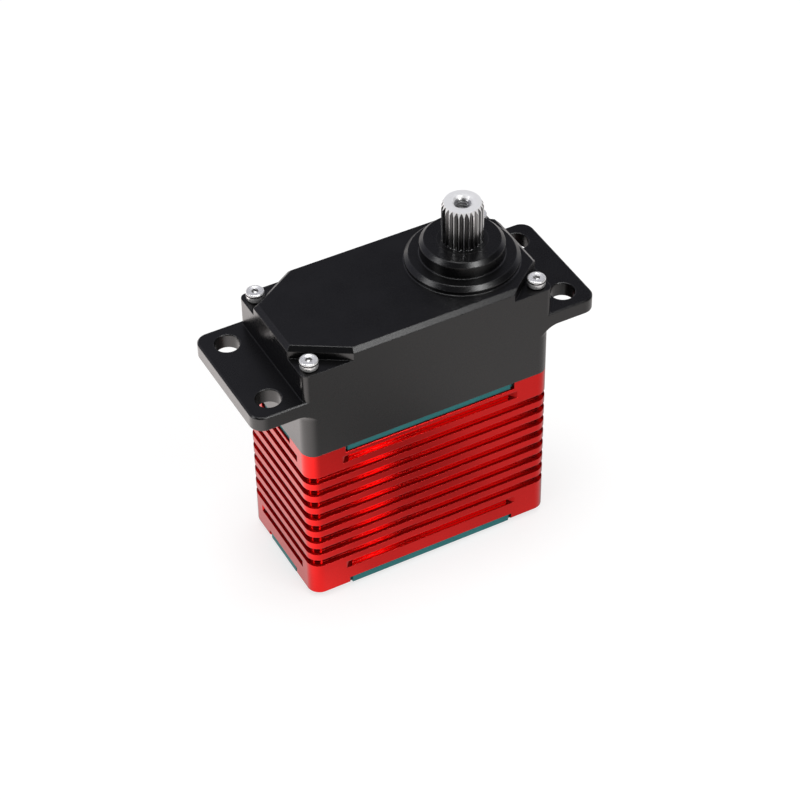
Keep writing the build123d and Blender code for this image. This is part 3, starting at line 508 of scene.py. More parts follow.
class Finishes:
    """Every finish of the servo. The last one with a slot's name is what that slot's CAD nodes wear."""

    # Painted shade: a dark steel colour on the spline's flanks and roots.
    FLANK = Finish(
        "spline_flank_painted_shade", "shaft_steel", (0.17, 0.17, 0.17), (0.12, 0.12, 0.12),
        metallic=1.0, roughness=0.22, spread=0.04, grain=4000.0, relief=1.0e-6, lay=Lay.TURNED, edge=3.0e-5,
    )
    # Painted shade: a darker steel colour in the screws' sockets and down the shaft's hole.
    RECESS = Finish(
        "steel_recess_painted_shade", "screw_steel", (0.52, 0.52, 0.52), (0.34, 0.34, 0.34),
        metallic=0.8, roughness=0.30, spread=0.05, grain=5000.0, relief=1.0e-6, edge=3.0e-5,
    )
    # Painted shade: a near-black colour in the groove under each screw head's rim.
    GROOVE = Finish(
        "screw_groove_painted_shade", "screw_steel", (0.05, 0.05, 0.05), (0.03, 0.03, 0.03),
        metallic=0.9, roughness=0.30, spread=0.05, grain=5000.0, relief=1.0e-6, edge=3.0e-5,
    )
    FACED = Finish(
        "faced_shaft_end", "shaft_steel", (0.90, 0.90, 0.90), (0.84, 0.84, 0.84),
        metallic=0.50, roughness=0.42, spread=0.05, grain=4000.0, relief=1.0e-6, edge=3.0e-5,
    )

    BLACK = Finish(
        "black_anodising", "black_anodised", (0.0014, 0.0014, 0.0016), (0.0010, 0.0010, 0.0011),
        roughness=0.28, spread=0.03, grain=11000.0, relief=1.2e-6, edge=1.6e-4,
        wear_and_highlight_colour=(0.30, 0.30, 0.30), wear_and_highlight_share=0.08,
    )
    RED = MilledFinish(
        "red_anodising", "red_anodised", (0.64, 0.010, 0.009), (0.60, 0.009, 0.008),
        metallic=0.88, roughness=0.24, spread=0.02, grain=9000.0, relief=8.0e-7, edge=1.2e-4,
        wear_and_highlight_colour=(0.85, 0.20, 0.18), wear_and_highlight_share=0.15, grazing=(0.55, 1.0, 1.0),
    )
    SEAL = Finish(
        "teal_silicone", "seal_rubber", (0.034, 0.270, 0.275), (0.026, 0.225, 0.235),
        roughness=0.62, spread=0.06, ior=1.43, grain=6000.0, relief=4.0e-6, edge=1.0e-4, sheen=0.08,
    )
    BLACK_RUBBER = Finish(
        "black_nitrile", "black_rubber", (0.002, 0.002, 0.002), (0.003, 0.003, 0.003),
        roughness=0.34, spread=0.05, ior=1.36, grain=5000.0, relief=2.0e-6, edge=1.0e-4,
    )
    SCREW = Finish(
        "bright_screw_steel", "screw_steel", (0.86, 0.86, 0.85), (0.74, 0.74, 0.74),
        metallic=0.65, roughness=0.28, spread=0.05, grain=5000.0, relief=1.0e-6, edge=8.0e-5,
    )
    SHAFT = Finish(
        "hobbed_shaft_steel", "shaft_steel", (0.80, 0.80, 0.80), (0.68, 0.68, 0.69),
        metallic=1.0, roughness=0.16, spread=0.04, grain=4000.0, relief=1.0e-6, lay=Lay.TURNED, edge=3.0e-5,
    )
    GEAR = Finish(
        "hardened_gear_steel", "gear_steel", (0.52, 0.52, 0.54), (0.40, 0.40, 0.42),
        metallic=1.0, roughness=0.33, spread=0.08, grain=4500.0, relief=2.0e-6, lay=Lay.TURNED, edge=5.0e-5,
    )
    BEARING = Finish(
        "ground_bearing_steel", "bearing_steel", (0.74, 0.74, 0.76), (0.66, 0.66, 0.68),
        metallic=1.0, roughness=0.14, spread=0.05, grain=9000.0, relief=6.0e-7, lay=Lay.TURNED, edge=6.0e-5,
    )
    BRASS = Finish(
        "turned_brass", "brass", (0.70, 0.48, 0.17), (0.56, 0.37, 0.12),
        metallic=1.0, roughness=0.28, spread=0.08, grain=4500.0, relief=1.5e-6, lay=Lay.TURNED, edge=5.0e-5,
    )
    BRONZE = Finish(
        "sintered_bronze", "bronze", (0.46, 0.24, 0.10), (0.30, 0.15, 0.06),
        metallic=1.0, roughness=0.48, spread=0.10, grain=12000.0, relief=8.0e-6, edge=5.0e-5,
    )
    CAN = Finish(
        "plated_motor_steel", "motor_steel", (0.52, 0.53, 0.55), (0.42, 0.43, 0.45),
        metallic=1.0, roughness=0.30, spread=0.07, grain=3500.0, relief=1.5e-6, lay=Lay.DRAWN, edge=1.0e-4,
    )
    CORE = StripedFinish(
        "stacked_core_steel", "core_steel", (0.20, 0.21, 0.23), (0.14, 0.15, 0.16),
        metallic=0.9, roughness=0.46, spread=0.06, lay=Lay.LAMINATED, edge=6.0e-5,
        pitch=3.5e-4, gap=(0.03, 0.03, 0.03),
    )
    MAGNET = Finish(
        "plated_magnet", "magnet", (0.34, 0.34, 0.36), (0.24, 0.24, 0.26),
        metallic=1.0, roughness=0.24, spread=0.06, grain=6000.0, relief=1.0e-6, edge=1.5e-4,
    )
    COPPER = StripedFinish(
        "enamelled_copper_wire", "copper", (0.62, 0.23, 0.09), (0.46, 0.15, 0.06),
        metallic=0.85, roughness=0.30, spread=0.05, grain=3000.0, relief=3.0e-6, edge=2.0e-4, coat=0.5,
        pitch=2.8e-4, gap=(0.10, 0.03, 0.015),
    )
    BOARD = BoardFinish(
        "green_solder_mask", "circuit_board", (0.008, 0.085, 0.040), (0.006, 0.068, 0.032),
        roughness=0.30, spread=0.05, ior=1.55, grain=4000.0, relief=2.0e-6, edge=5.0e-5, coat=0.3,
    )
    CHIP = Finish(
        "moulded_chip_plastic", "chip_plastic", (0.016, 0.016, 0.017), (0.011, 0.011, 0.012),
        roughness=0.52, spread=0.06, grain=14000.0, relief=3.0e-6, edge=6.0e-5,
    )
    FOIL_CAN = Finish(
        "drawn_aluminium", "capacitor_can", (0.66, 0.67, 0.69), (0.56, 0.57, 0.59),
        metallic=1.0, roughness=0.25, spread=0.06, grain=3500.0, relief=1.0e-6, lay=Lay.DRAWN, edge=2.0e-4,
    )
    SOLDER = Finish(
        "bright_solder", "solder", (0.66, 0.66, 0.68), (0.50, 0.50, 0.53),
        metallic=1.0, roughness=0.22, spread=0.10, grain=2500.0, relief=1.5e-5, edge=1.5e-4,
    )

    @classmethod
    def by_slot(cls) -> dict[str, Finish]:
        """The finish that the CAD nodes of each slot wear."""
        return {f.slot: f for f in vars(cls).values() if isinstance(f, Finish)}


# ---- Surfaces ----


def grid_faces(rows: int, columns: int) -> np.ndarray:
    """Quads of a grid that is closed round its columns.

    Args:
        rows: stations along the profile.
        columns: points round each station.

    Returns:
        An array of four indices a face, turned so that a profile walked upwards on the outside faces out.
    """
    row, column = np.meshgrid(np.arange(rows - 1), np.arange(columns), indexing="ij")
    here = row * columns + column
    beside = row * columns + (column + 1) % columns
    quads = np.stack([here, beside, beside + columns, here + columns], axis=-1)
    return quads.reshape(-1, 4)


def directions(count: int) -> np.ndarray:
    """Angles in radians, evenly spaced round a full turn."""
    return 2 * math.pi * np.arange(count) / count


def rings(values: np.ndarray, columns: int) -> np.ndarray:
    """One row for each value, with the value repeated round all columns."""
    return np.repeat(values[:, None], columns, 1)


def lathe(radius: np.ndarray, height: np.ndarray, x: float, y: float) -> Skin:
    """A skin round an upright axis: its points are (x + r cos a, y + r sin a, z) for radius r and height z.

    Args:
        radius: radii in mm, one row for each station and one column for each direction a.
        height: height of each station in mm.
        x: place of the axis in mm.
        y: place of the axis in mm.

    Returns:
        Its vertices and faces.
    """
    columns = radius.shape[1]
    angle = directions(columns)
    points = [x + radius * np.cos(angle), y + radius * np.sin(angle), rings(height, columns)]
    return np.stack(points, axis=-1).reshape(-1, 3) * MM, grid_faces(len(radius), columns)


def piece(name: str, parts: list[Skin], finish: Finish, body: Body) -> bpy.types.Object:
    """Makes one object from skins, smooth except at sharp edges, riding on a body.

    Args:
        name: the object's name.
        parts: the skins, each indexed from its own first vertex.
        finish: what it is dressed in.
        body: what it rides on.

    Returns:
        The object.
    """
    offsets = np.cumsum([0] + [len(vertices) for vertices, _ in parts[:-1]])
    vertices = np.concatenate([v for v, _ in parts])
    faces = np.concatenate([f + offset for (_, f), offset in zip(parts, offsets)])
    mesh = bpy.data.meshes.new(name)
    mesh.from_pydata(vertices.tolist(), [], faces.tolist())
    mesh.validate()
    mesh.polygons.foreach_set("use_smooth", np.ones(len(mesh.polygons), bool))
    mesh.set_sharp_from_angle(angle=SHARP_EDGE)
    mesh.materials.append(finish.material())
    made = bpy.data.objects.new(name, mesh)
    bpy.context.scene.collection.objects.link(made)
    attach(made, body.value)
    log.info("%s: %d faces, rides on %s", name, len(mesh.polygons), body.value)
    return made


def face_middles(made: bpy.types.Object) -> np.ndarray:
    """Finds the middle of every face of a piece.

    Args:
        made: the piece.

    Returns:
        Rows of x, y and z in mm.
    """
    middles = np.empty(len(made.data.polygons) * 3)
    made.data.polygons.foreach_get("center", middles)
    return middles.reshape(-1, 3).T / MM


def dress_faces(made: bpy.types.Object, finish: Finish, chosen: np.ndarray) -> None:
    """Gives some faces of a piece a finish of their own.

    Args:
        made: the piece.
        finish: the finish.
        chosen: which faces take it, as one truth value a face.
    """
    kind = np.empty(len(made.data.polygons), np.int32)
    made.data.polygons.foreach_get("material_index", kind)
    kind[chosen] = len(made.data.materials)
    made.data.materials.append(finish.material())
    made.data.polygons.foreach_set("material_index", kind)


@dataclass
class Shaft:
    """The output shaft with its hobbed spline and the tapped hole for the horn's screw. Sizes in mm.

    Attributes:
        x: place of the axis.
        steps: radius and height of each corner of the turned shaft below the spline, from its foot up.
        teeth: number of teeth on the spline.
        tooth_points: points round each tooth.
        tip: radius over the teeth.
        root: radius between the teeth.
        flank: height of the flank's line at a tooth's middle and its fall to the gap's middle, before it
            is cut flat at 1, which is the tip, and at 0, which is the root.
        top_land: radius from which a face is part of a tooth's bright top.
        bottom: height where the spline starts.
        top: height of the end face.
        bevel: height of the bevel round the end face.
        spline_rows: stations along the spline, and again along its bevel.
        face_rings: radii of the rings of the end face, from its rim in.
        mouth: radius and depth of the countersink's edge.
        shiny_mouth: depth to which the countersink is bright.
        hole: radius of the hole at the thread's roots.
        crest: radius of the hole at the thread's crests.
        hole_bottom: height of the hole's floor.
        hole_zone: radius inside which every face belongs to the hole.
        thread_end: height of the thread's end over the floor.
        drill: radius and height over the floor at which the drill's cone starts.
        pitch: pitch of the thread.
        ridge: height and slope of the wave that is cut flat to make the thread's ridge.
        run_in: depth where the thread starts and the length over which it grows to full height.
        thread_rows: stations down the thread.
        thread_columns: points round it.
    """

    x: float = 10.8
    steps: tuple[tuple[float, float], ...] = (
        (0.0, -6.6), (1.9, -6.6), (2.0, -6.5), (2.0, -6.45), (1.8, -6.45), (1.8, -6.1), (2.0, -6.1),
        (2.0, 3.3), (2.95, 3.3), (3.0, 3.35), (3.0, 6.4), (3.5, 6.4), (3.5, 8.4), (3.0, 8.4), (3.0, 12.6),
    )
    teeth: int = 25
    tooth_points: int = 12
    tip: float = 3.05
    root: float = 2.7
    flank: tuple[float, float] = (1.04, 1.16)
    top_land: float = 2.97
    bottom: float = 12.6
    top: float = 19.15
    bevel: float = 0.75
    spline_rows: int = 10
    face_rings: tuple[float, ...] = (2.45, 2.0, 1.62)
    mouth: tuple[float, float] = (1.52, 0.02)
    shiny_mouth: float = 0.3
    hole: float = 1.25
    crest: float = 1.00
    hole_bottom: float = 10.5
    hole_zone: float = 2.1
    thread_end: float = 0.3
    drill: tuple[float, float] = (0.9, 0.15)
    pitch: float = 0.5
    ridge: tuple[float, float] = (1.5, 3.75)
    run_in: tuple[float, float] = (0.15, 0.3)
    thread_rows: int = 150
    thread_columns: int = 72

    def tooth(self, height: np.ndarray) -> np.ndarray:
        """Radius of the spline at each height and angle.

        Away from a tooth's middle the radius falls from tip to root in a straight flank, with a narrow
        flat at both. Over the last bit of height the bevel's cone cuts the teeth away, down to the root.

        Args:
            height: heights of the stations.

        Returns:
            Radii, one row for each station.
        """
        angle = directions(self.teeth * self.tooth_points)
        away = np.abs(np.mod(self.teeth * angle / math.pi + 1.0, 2.0) - 1.0)
        start, fall = self.flank
        full = self.root + (self.tip - self.root) * np.clip(start - fall * away, 0.0, 1.0)[None, :]
        return np.minimum(full, self.cone(height)[:, None])

    def cone(self, height: np.ndarray) -> np.ndarray:
        """Radius of the bevel at the shaft's end: from tip to root over the bevel's height.

        Args:
            height: heights to find it at.

        Returns:
            One radius for each height.
        """
        return self.tip - (self.tip - self.root) * np.clip((height - self.top) / self.bevel + 1.0, 0.0, 1.0)

    def outside(self) -> Skin:
        """The stepped shaft, the spline and the end face down to the mouth of the hole, as one skin.

        Returns:
            Its vertices and faces.
        """
        steps = np.array(self.steps)
        end = self.top - self.bevel
        straight = np.linspace(self.bottom, end, self.spline_rows)
        high = np.concatenate([straight, np.linspace(end, self.top, self.spline_rows)[1:]])
        face = np.array(self.face_rings + self.mouth[:1])
        levels = self.top - np.array([0.0] * len(self.face_rings) + [self.mouth[1]])
        columns = self.teeth * self.tooth_points
        radius = np.concatenate([rings(steps[:, 0], columns), self.tooth(high), rings(face, columns)])
        return lathe(radius, np.concatenate([steps[:, 1], high, levels]), self.x, 0.0)

    def thread(self) -> Skin:
        """The wall of the hole: a screw thread.

        Each point's phase is its depth over the pitch plus its angle over a full turn. The radius is the
        hole's radius less a flattened triangle wave of that phase, so the crests wind round as a helix.
        It fades out towards the mouth, where a countersink of 45 degrees opens it.

        Returns:
            Its vertices and faces.
        """
        turn = directions(self.thread_columns) / (2 * math.pi)
        depth = np.linspace(0.0, self.top - self.hole_bottom - self.thread_end, self.thread_rows)
        phase = depth[:, None] / self.pitch + turn[None, :]
        height, slope = self.ridge
        wave = np.clip(height - slope * np.abs(phase - np.round(phase)), 0.0, 1.0)
        start, length = self.run_in
        grown = np.clip((depth - start) / length, 0.0, 1.0)[:, None]
        mouth, edge = self.mouth
        wall = np.maximum(self.hole - (self.hole - self.crest) * wave * grown, (mouth - depth)[:, None])
        drill, drill_top = self.drill
        radius = np.concatenate([wall, rings(np.array([drill, 0.0]), self.thread_columns)])
        floor = [self.hole_bottom + drill_top, self.hole_bottom]
        return lathe(radius, np.concatenate([self.top - edge - depth, floor]), self.x, 0.0)

    def build(self) -> bpy.types.Object:
        """Makes the shaft, faced at its end, with painted shade between its teeth and down its hole, and lets
        it stand for the plain one.

        Returns:
            The shaft.
        """
        skins = [self.outside(), self.thread()]
        made = piece("splined_output_shaft", skins, Finishes.SHAFT, Body.OUTPUT)
        x, y, z = face_middles(made)
        radius = np.hypot(x - self.x, y)
        bevel = self.cone(z) - 2 * NEAR
        faced = z > self.top - NEAR
        spline = (z > self.bottom) & (radius > self.root - NEAR)
        hole = (radius < self.hole_zone) & (z > self.hole_bottom)
        mouth = z > self.top - self.shiny_mouth
        cone = (z > self.top - self.bevel) & (radius > bevel)
        # Painted shade on the flanks and roots of the teeth, and a darker colour down the hole.
        dress_faces(made, Finishes.FLANK, spline & (radius < np.minimum(bevel, self.top_land)) & ~faced)
        dress_faces(made, Finishes.RECESS, hole & ~mouth)
        dress_faces(made, Finishes.FACED, faced | (hole & mouth) | cone)
        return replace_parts(made, "output_shaft")


@dataclass
class SocketScrews:
    """Four small socket cap screws that hold the upper case down. Sizes in mm.

    Attributes:
        x: place of each axis, either way.
        y: place of each axis, either way.
        seat: height of the heads' seat.
        head: radius of the head.
        height: height of the head.
        rim: radius of the rounded rim.
        rim_points: points round that rim.
        side: how far in and how far below the top each corner of the head's side lies, down to its foot.
        foot: how far in the seat starts.
        shank: radius over the thread.
        ridge: depth of the thread.
        pitch: pitch of the thread.
        thread_top: height where the thread starts.
        thread_rows: stations down the thread.
        point: height and reach of the bevel at the shank's tip.
        tip: height of that tip.
        socket: radius to the hexagon's corners.
        depth: depth of the socket.
        dish: radius and depth of the rings between the rim and the socket.
        socket_edge: depth at which the hexagon starts.
        draft: share of the hexagon at the foot of the socket's walls.
        floor: share of the hexagon at the floor's ring, and the depths of ring and middle below the walls.
        columns: points round each screw.
        turns: turn in radians at which each screw has stopped.
    """

    x: float = 18.2
    y: float = 8.45
    seat: float = 7.0
    head: float = 1.34
    height: float = 1.52
    rim: float = 0.24
    rim_points: int = 6
    side: tuple[tuple[float, float], ...] = (
        (0.0, 0.28), (0.12, 0.36), (0.12, 0.44), (0.0, 0.52), (0.0, 1.15), (0.08, 1.32), (0.26, 1.47),
    )
    foot: float = 0.34
    shank: float = 0.8
    ridge: float = 0.10
    pitch: float = 0.4
    thread_top: float = 5.0
    thread_rows: int = 170
    point: tuple[float, float] = (0.3, 0.2)
    tip: float = -12.3
    socket: float = 0.55
    depth: float = 0.55
    dish: tuple[tuple[float, float], ...] = ((1.0, 0.0), (0.92, 0.03))
    socket_edge: float = 0.1
    draft: float = 0.99
    floor: tuple[float, float, float] = (0.5, 0.1, 0.15)
    columns: int = 48
    turns: tuple[float, ...] = (0.3, 0.9, 0.55, 0.1)

    def profile(self) -> np.ndarray:
        """The outside from the tip up: a threaded shank, the head's seat, its side and its rounded rim.

        Returns:
            Rows of radius and height.
        """
        top = self.seat + self.height
        bend = np.linspace(0.0, math.pi / 2, self.rim_points)
        rim = [self.head - self.rim * (1 - np.sin(bend)), top - self.rim * (1 - np.cos(bend))]
        side = np.array([self.head, top]) - np.array(self.side)
        seat = np.array([[self.head - self.foot, self.seat], [self.shank, self.seat]])
        bevel, reach = self.point
        z = np.linspace(self.thread_top, self.tip + bevel, self.thread_rows)
        turn = (self.thread_top - z) / self.pitch
        thread = [self.shank - self.ridge * np.abs(2 * (turn - np.round(turn))), z]
        end = np.array([[self.shank - reach, self.tip], [0.0, self.tip]])
        return np.concatenate([np.stack(rim, axis=-1), side, seat, np.stack(thread, axis=-1), end])[::-1]

    def hexagon(self, turn: float) -> np.ndarray:
        """Distance from the axis to a regular hexagon's side in each direction.

        With s the angle from the nearest side's middle, the distance is the apothem over cos s.

        Args:
            turn: how far the hexagon is turned, in radians.

        Returns:
            One distance for each direction.
        """
        angle = directions(self.columns) - turn
        from_middle = np.mod(angle + math.pi / 6, math.pi / 3) - math.pi / 6
        return self.socket * math.cos(math.pi / 6) / np.cos(from_middle)

    def top_stations(self) -> np.ndarray:
        """Stations from the rim in: a round radius, a share of the hexagon that adds to it, and a depth.

        Returns:
            Rows of those three.
        """
        narrow, edge_drop, middle_drop = self.floor
        rim = [(self.head - self.rim, 0.0, 0.0)]
        dish = [(radius, 0.0, below) for radius, below in self.dish]
        walls = [(0.0, 1.0, self.socket_edge), (0.0, self.draft, self.depth)]
        floor = [(0.0, narrow, self.depth + edge_drop), (0.0, 0.0, self.depth + middle_drop)]
        return np.array(rim + dish + walls + floor)

    def parts(self, x: float, y: float, turn: float) -> list[Skin]:
        """One screw: its outside, then the top face, the socket's walls and its floor as a second skin.

        Args:
            x: place of its axis.
            y: place of its axis.
            turn: how far its hexagon is turned, in radians.

        Returns:
            The two skins.
        """
        profile = self.profile()
        outside = lathe(rings(profile[:, 0], self.columns), profile[:, 1], x, y)
        plain, share, below = self.top_stations().T
        radius = plain[:, None] + share[:, None] * self.hexagon(turn)[None, :]
        return [outside, lathe(radius, self.seat + self.height - below, x, y)]

    def build(self) -> bpy.types.Object:
        """Makes the four screws, each stopped at a turn of its own, and lets them stand for the plain ones.

        Returns:
            The screws.
        """
        places = [(sx * self.x, sy * self.y) for sx in (-1, 1) for sy in (-1, 1)]
        skins = [skin for (x, y), turn in zip(places, self.turns) for skin in self.parts(x, y, turn)]
        made = piece("socket_cap_screws", skins, Finishes.SCREW, Body.CASE)
        x, y, z = face_middles(made)
        radius = np.hypot(np.abs(x) - self.x, np.abs(y) - self.y)
        below = self.seat + self.height - z
        groove_top, groove_foot = self.side[0][1], self.side[3][1]
        ring = (below > groove_top + NEAR) & (below < groove_foot - NEAR) & (radius > self.socket)
        socket_painted_shade = (below > self.socket_edge + 2 * NEAR) & (below < self.height) & (radius < self.socket)
        # Painted shade: darker in the socket, near-black in the groove under the rim.
        dress_faces(made, Finishes.RECESS, socket_painted_shade)
        dress_faces(made, Finishes.GROOVE, ring)
        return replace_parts(made, "upper_case_screws")


@dataclass
class Casework:
    """The case, its cover, seals and small trim, which keep their CAD shapes.

    Attributes:
        nodes: the CAD nodes.
    """

    nodes: tuple[str, ...] = (
        "upper_case", "heatsink_case", "bottom_cover", "upper_gasket", "lower_gasket", "bottom_cover_screws",
        "cable_grommet", "output_seal",
    )

    def dress(self) -> None:
        """Gives each node the finish of its slot."""
        dress_nodes(self.nodes)


@dataclass
class Workings:
    """The bearings, gears, motor and boards inside, which keep their CAD shapes.

    Attributes:
        outside: the CAD nodes of the casework, which aren't part of it.
    """

    outside: tuple[str, ...] = Casework.nodes

    def dress(self) -> None:
        """Gives every other CAD node the finish of its slot."""
        dress_nodes(tuple(sorted(set(frame["nodes"]) - set(self.outside))))


def dress_nodes(names: tuple[str, ...]) -> None:
    """Gives CAD nodes the finish of the slot that the record names for them.

    Args:
        names: the CAD nodes.
    """
    slots = {part["node"]: part["material_slot"] for part in frame["record"]["subparts"]}
    finishes = Finishes.by_slot()
    for name in names:
        finishes[slots[name]].dress(name)


# ---- Studio ----


@dataclass(frozen=True)
class SoftBox:
    """A studio lamp that faces the servo.

    Attributes:
        name: the lamp's name.
        place: position in metres.
        size: width and height in metres.
        power: watts.
        target: point that it faces, in metres.
    """

    name: str
    place: Triple
    size: tuple[float, float]
    power: float
    target: Triple = (0.0, 0.0, -0.01)

    def build(self) -> None:
        """Hangs the lamp and turns it to the servo."""
        lamp = bpy.data.lights.new(self.name, "AREA")
        lamp.shape = "RECTANGLE"
        lamp.size, lamp.size_y = self.size
        lamp.energy = self.power
        made = bpy.data.objects.new(self.name, lamp)
        made.location = self.place
        towards = Vector(self.target) - Vector(self.place)
        made.rotation_euler = towards.to_track_quat("-Z", "Y").to_euler()
        bpy.context.scene.collection.objects.link(made)
        made.visible_camera = False
        log.info("%s: %.3f W", self.name, self.power)


@dataclass(frozen=True)
class PaintedFloorShine:
    """Painted light and shade that the white floor shows in reflections alone, over its place in metres.

    Attributes:
        right_side: rise of painted light from the left to the right, along X.
        near_panel: first rise towards a painted bright panel on the left, along X.
        far_panel: second and steeper rise towards it, along X.
        panel_end: fall beyond the panel, along X.
        painted_shade_place: middle of a patch of painted shade in front of the case, in plan.
        painted_shade_stretch: factors on the distance from that middle along X, Y and Z.
        dim_reach: that distance where the patch is darkest and where it ends.
        foot_across: painted light of a patch at the case's foot, along X.
        foot_front: front edge of that patch, along Y.
        line_back: painted light of a patch under the case, along Y.
        line_front: back edge of that patch, along Y.
    """

    right_side: Ramp = (-0.005, 0.025, 0.22, 0.50)
    near_panel: Ramp = (-0.009, -0.024, 0.0, 0.70)
    far_panel: Ramp = (-0.024, -0.047, 0.0, 0.90)
    panel_end: Ramp = (-0.100, -0.060, 0.3, 1.0)
    painted_shade_place: tuple[float, float] = (0.0055, -0.031)
    painted_shade_stretch: Triple = (1.0, 0.75, 0.0)
    dim_reach: Ramp = (0.005, 0.013)
    foot_across: Ramp = (0.012, -0.002, 0.0, 0.22)
    foot_front: Ramp = (-0.045, -0.036)
    line_back: Ramp = (-0.018, -0.012, 0.0, 0.18)
    line_front: Ramp = (-0.0085, -0.0100)

    def strength(self, nodes: Nodes) -> Socket:
        """The sum of all patches of painted light, with the rise to the right dimmed by painted shade in
        front of the case.

        Args:
            nodes: the floor material's nodes.

        Returns:
            The strength of the floor's painted light in a reflection.
        """
        here = nodes.place()
        axes = nodes.add("SeparateXYZ", {0: here}).outputs
        x, y = axes["X"], axes["Y"]
        # Painted light: a bright panel on the left, a patch at the foot and one under the case.
        rise = nodes.maths("ADD", nodes.between(x, *self.near_panel), nodes.between(x, *self.far_panel))
        foot = nodes.between(x, *self.foot_across)
        foot = nodes.maths("MULTIPLY", foot, nodes.between(y, *self.foot_front))
        line = nodes.between(y, *self.line_back)
        line = nodes.maths("MULTIPLY", line, nodes.between(y, *self.line_front))
        # Painted shade: a dim patch in front of the case.
        offset = nodes.vector("SUBTRACT", here, (*self.painted_shade_place, CAD_BOX[0].z))
        away = nodes.vector("LENGTH", nodes.vector("MULTIPLY", offset, self.painted_shade_stretch))
        dim = nodes.between(away, *self.dim_reach)
        fall = nodes.between(x, *self.panel_end)
        lit = nodes.maths("MULTIPLY_ADD", rise, fall, nodes.maths("ADD", foot, line))
        return nodes.maths("MULTIPLY_ADD", nodes.between(x, *self.right_side), dim, lit)


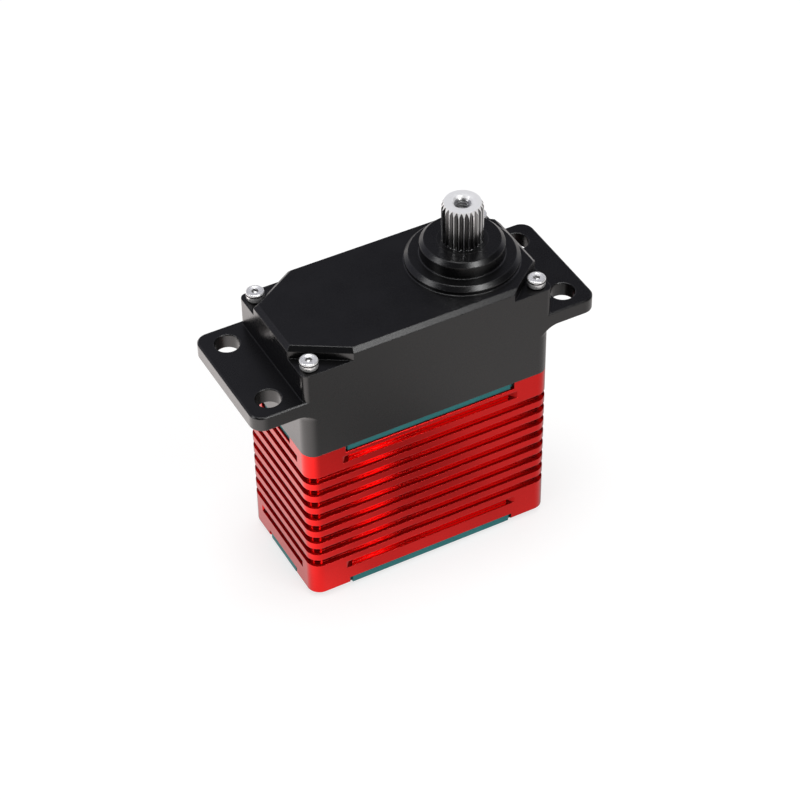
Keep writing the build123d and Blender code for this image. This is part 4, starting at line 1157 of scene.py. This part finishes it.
@dataclass
class Studio:
    """Floor, background, lamps and camera. Lengths in metres.

    Attributes:
        floor_half: half the side of the floor.
        floor_colour: linear colour of the paper.
        floor_glow: strength of the light that the paper adds for the camera alone.
        painted_shine_colour: linear colour of the paper's painted light in reflections.
        painted_shine: painted light and shade that the paper shows in reflections alone.
        ambient: strength of the world's plain light.
        horizon: upward part of a direction, from the white horizon to the sky.
        sky: strength of the sky in reflections, from the front to the back.
        sky_colour: linear colour of the sky in reflections.
        dim_spot: direction of a dark spot in the sky.
        dim_reach: distance from that direction where the spot is darkest and where it ends.
        lens: focal length of the camera in mm.
        sensor: width of its sensor in mm.
        nearest: distance from which it sees.
        camera_place: position of the camera.
        right: the camera's direction to the right.
        up: the camera's upward direction.
        back: direction from the servo to the camera.
        lamps: the lamps.
    """

    floor_half: float = 4.0
    floor_colour: Colour = (0.35, 0.35, 0.35)
    floor_glow: float = 0.70
    painted_shine_colour: Colour = (1.0, 0.93, 0.91)
    painted_shine: PaintedFloorShine = PaintedFloorShine()
    ambient: float = 0.42
    horizon: Ramp = (0.02, 0.18)
    sky: Ramp = (-0.3, 0.3, 0.05, 0.36)
    sky_colour: Colour = (0.94, 0.93, 1.12)
    dim_spot: Triple = (0.400, 0.660, 0.635)
    dim_reach: Ramp = (0.05, 0.22)
    lens: float = 115.1
    sensor: float = 36.0
    nearest: float = 0.01
    camera_place: Triple = (-0.12999, -0.24803, 0.24100)
    right: Triple = (0.879998, -0.474823, -0.012082)
    up: Triple = (0.327503, 0.588150, 0.739474)
    back: Triple = (-0.344013, -0.654693, 0.673077)
    lamps: tuple[SoftBox, ...] = (
        SoftBox("top_softbox", (0.0, 0.05, 0.60), (0.30, 0.30), 1.7),
        SoftBox("front_softbox", (0.055, -0.42, 0.47), (0.15, 0.11), 0.46),
        SoftBox("left_softbox", (-0.28, 0.042, 0.206), (0.10, 0.10), 0.17),
        SoftBox("small_softbox", (0.038, -0.110, 0.126), (0.042, 0.034), 0.037),
        SoftBox("strip_light", (0.0364, -0.100, 0.074), (0.0050, 0.028), 0.0037),
        SoftBox("fill_strip", (0.0585, -0.100, 0.075), (0.021, 0.028), 0.0046),
    )

    def camera(self) -> None:
        """Sets the camera from its place and its right, up and back directions."""
        data = bpy.data.cameras.new("studio_camera")
        data.lens = self.lens
        data.sensor_width = self.sensor
        data.clip_start = self.nearest
        made = bpy.data.objects.new("studio_camera", data)
        axes = Matrix((self.right, self.up, self.back)).transposed().to_4x4()
        made.matrix_world = Matrix.Translation(self.camera_place) @ axes
        bpy.context.scene.collection.objects.link(made)
        bpy.context.scene.camera = made

    def floor(self) -> None:
        """A wide white floor at the foot of the servo, with a slight glow for the camera, and painted light
        and shade that reflections alone see.
        """
        half, z = self.floor_half, CAD_BOX[0].z
        corners = [(-half, -half, z), (half, -half, z), (half, half, z), (-half, half, z)]
        mesh = bpy.data.meshes.new("studio_floor")
        mesh.from_pydata(corners, [], [(0, 1, 2, 3)])
        material = bpy.data.materials.new("white_paper_floor")
        material.use_nodes = True
        nodes = Nodes(material.node_tree)
        paper = nodes.add("BsdfDiffuse", {"Color": rgba(self.floor_colour)})
        path = nodes.add("LightPath").outputs
        seen = nodes.maths("MULTIPLY", path["Is Camera Ray"], self.floor_glow)
        # Mirrored rays alone see painted light and shade on the paper, in a warm tint.
        mirrored = nodes.maths("MAXIMUM", path["Is Glossy Ray"], path["Is Transmission Ray"])
        strength = nodes.maths("MULTIPLY_ADD", mirrored, self.painted_shine.strength(nodes), seen)
        tint = nodes.blend(mirrored, WHITE, rgba(self.painted_shine_colour))
        glow = nodes.add("Emission", {"Color": tint, "Strength": strength})
        both = nodes.add("AddShader", {0: paper.outputs[0], 1: glow.outputs[0]})
        nodes.add("OutputMaterial", {"Surface": both.outputs[0]})
        mesh.materials.append(material)
        made = bpy.data.objects.new("studio_floor", mesh)
        bpy.context.scene.collection.objects.link(made)

    def background(self) -> None:
        """White to the camera and plain grey as light. Reflections find a white horizon and a dim sky."""
        world = bpy.data.worlds.new("studio_background")
        bpy.context.scene.world = world
        world.use_nodes = True
        nodes = Nodes(world.node_tree)
        direction = nodes.add("TexCoord").outputs["Generated"]
        axes = nodes.add("SeparateXYZ", {0: direction}).outputs
        overhead = nodes.between(axes["Z"], *self.horizon)
        spot = nodes.between(nodes.vector("DISTANCE", direction, self.dim_spot), *self.dim_reach)
        sky = nodes.maths("MULTIPLY", spot, nodes.between(axes["Y"], *self.sky))
        mirrored = nodes.maths("MULTIPLY_ADD", overhead, nodes.maths("SUBTRACT", sky, 1.0), 1.0)
        path = nodes.add("LightPath").outputs
        shiny = nodes.maths("MAXIMUM", path["Is Glossy Ray"], path["Is Transmission Ray"])
        seen = nodes.maths("MULTIPLY_ADD", shiny, mirrored, path["Is Camera Ray"])
        unseen = nodes.maths("SUBTRACT", 1.0, nodes.maths("MAXIMUM", shiny, path["Is Camera Ray"]))
        strength = nodes.maths("MULTIPLY_ADD", unseen, self.ambient, seen)
        tint = nodes.blend(nodes.maths("MULTIPLY", shiny, overhead), WHITE, rgba(self.sky_colour))
        shade = nodes.add("Background", {"Color": tint, "Strength": strength})
        nodes.add("OutputWorld", {"Surface": shade.outputs[0]})

    def build(self) -> None:
        """Sets up the whole studio."""
        self.camera()
        self.floor()
        self.background()
        for lamp in self.lamps:
            lamp.build()
        bpy.context.scene.view_settings.view_transform = "Standard"


def main() -> None:
    """Builds the pieces, dresses the CAD nodes and sets the studio."""
    Studio().build()
    Shaft().build()
    SocketScrews().build()
    Casework().dress()
    Workings().dress()


if __name__ == "__main__":
    main()
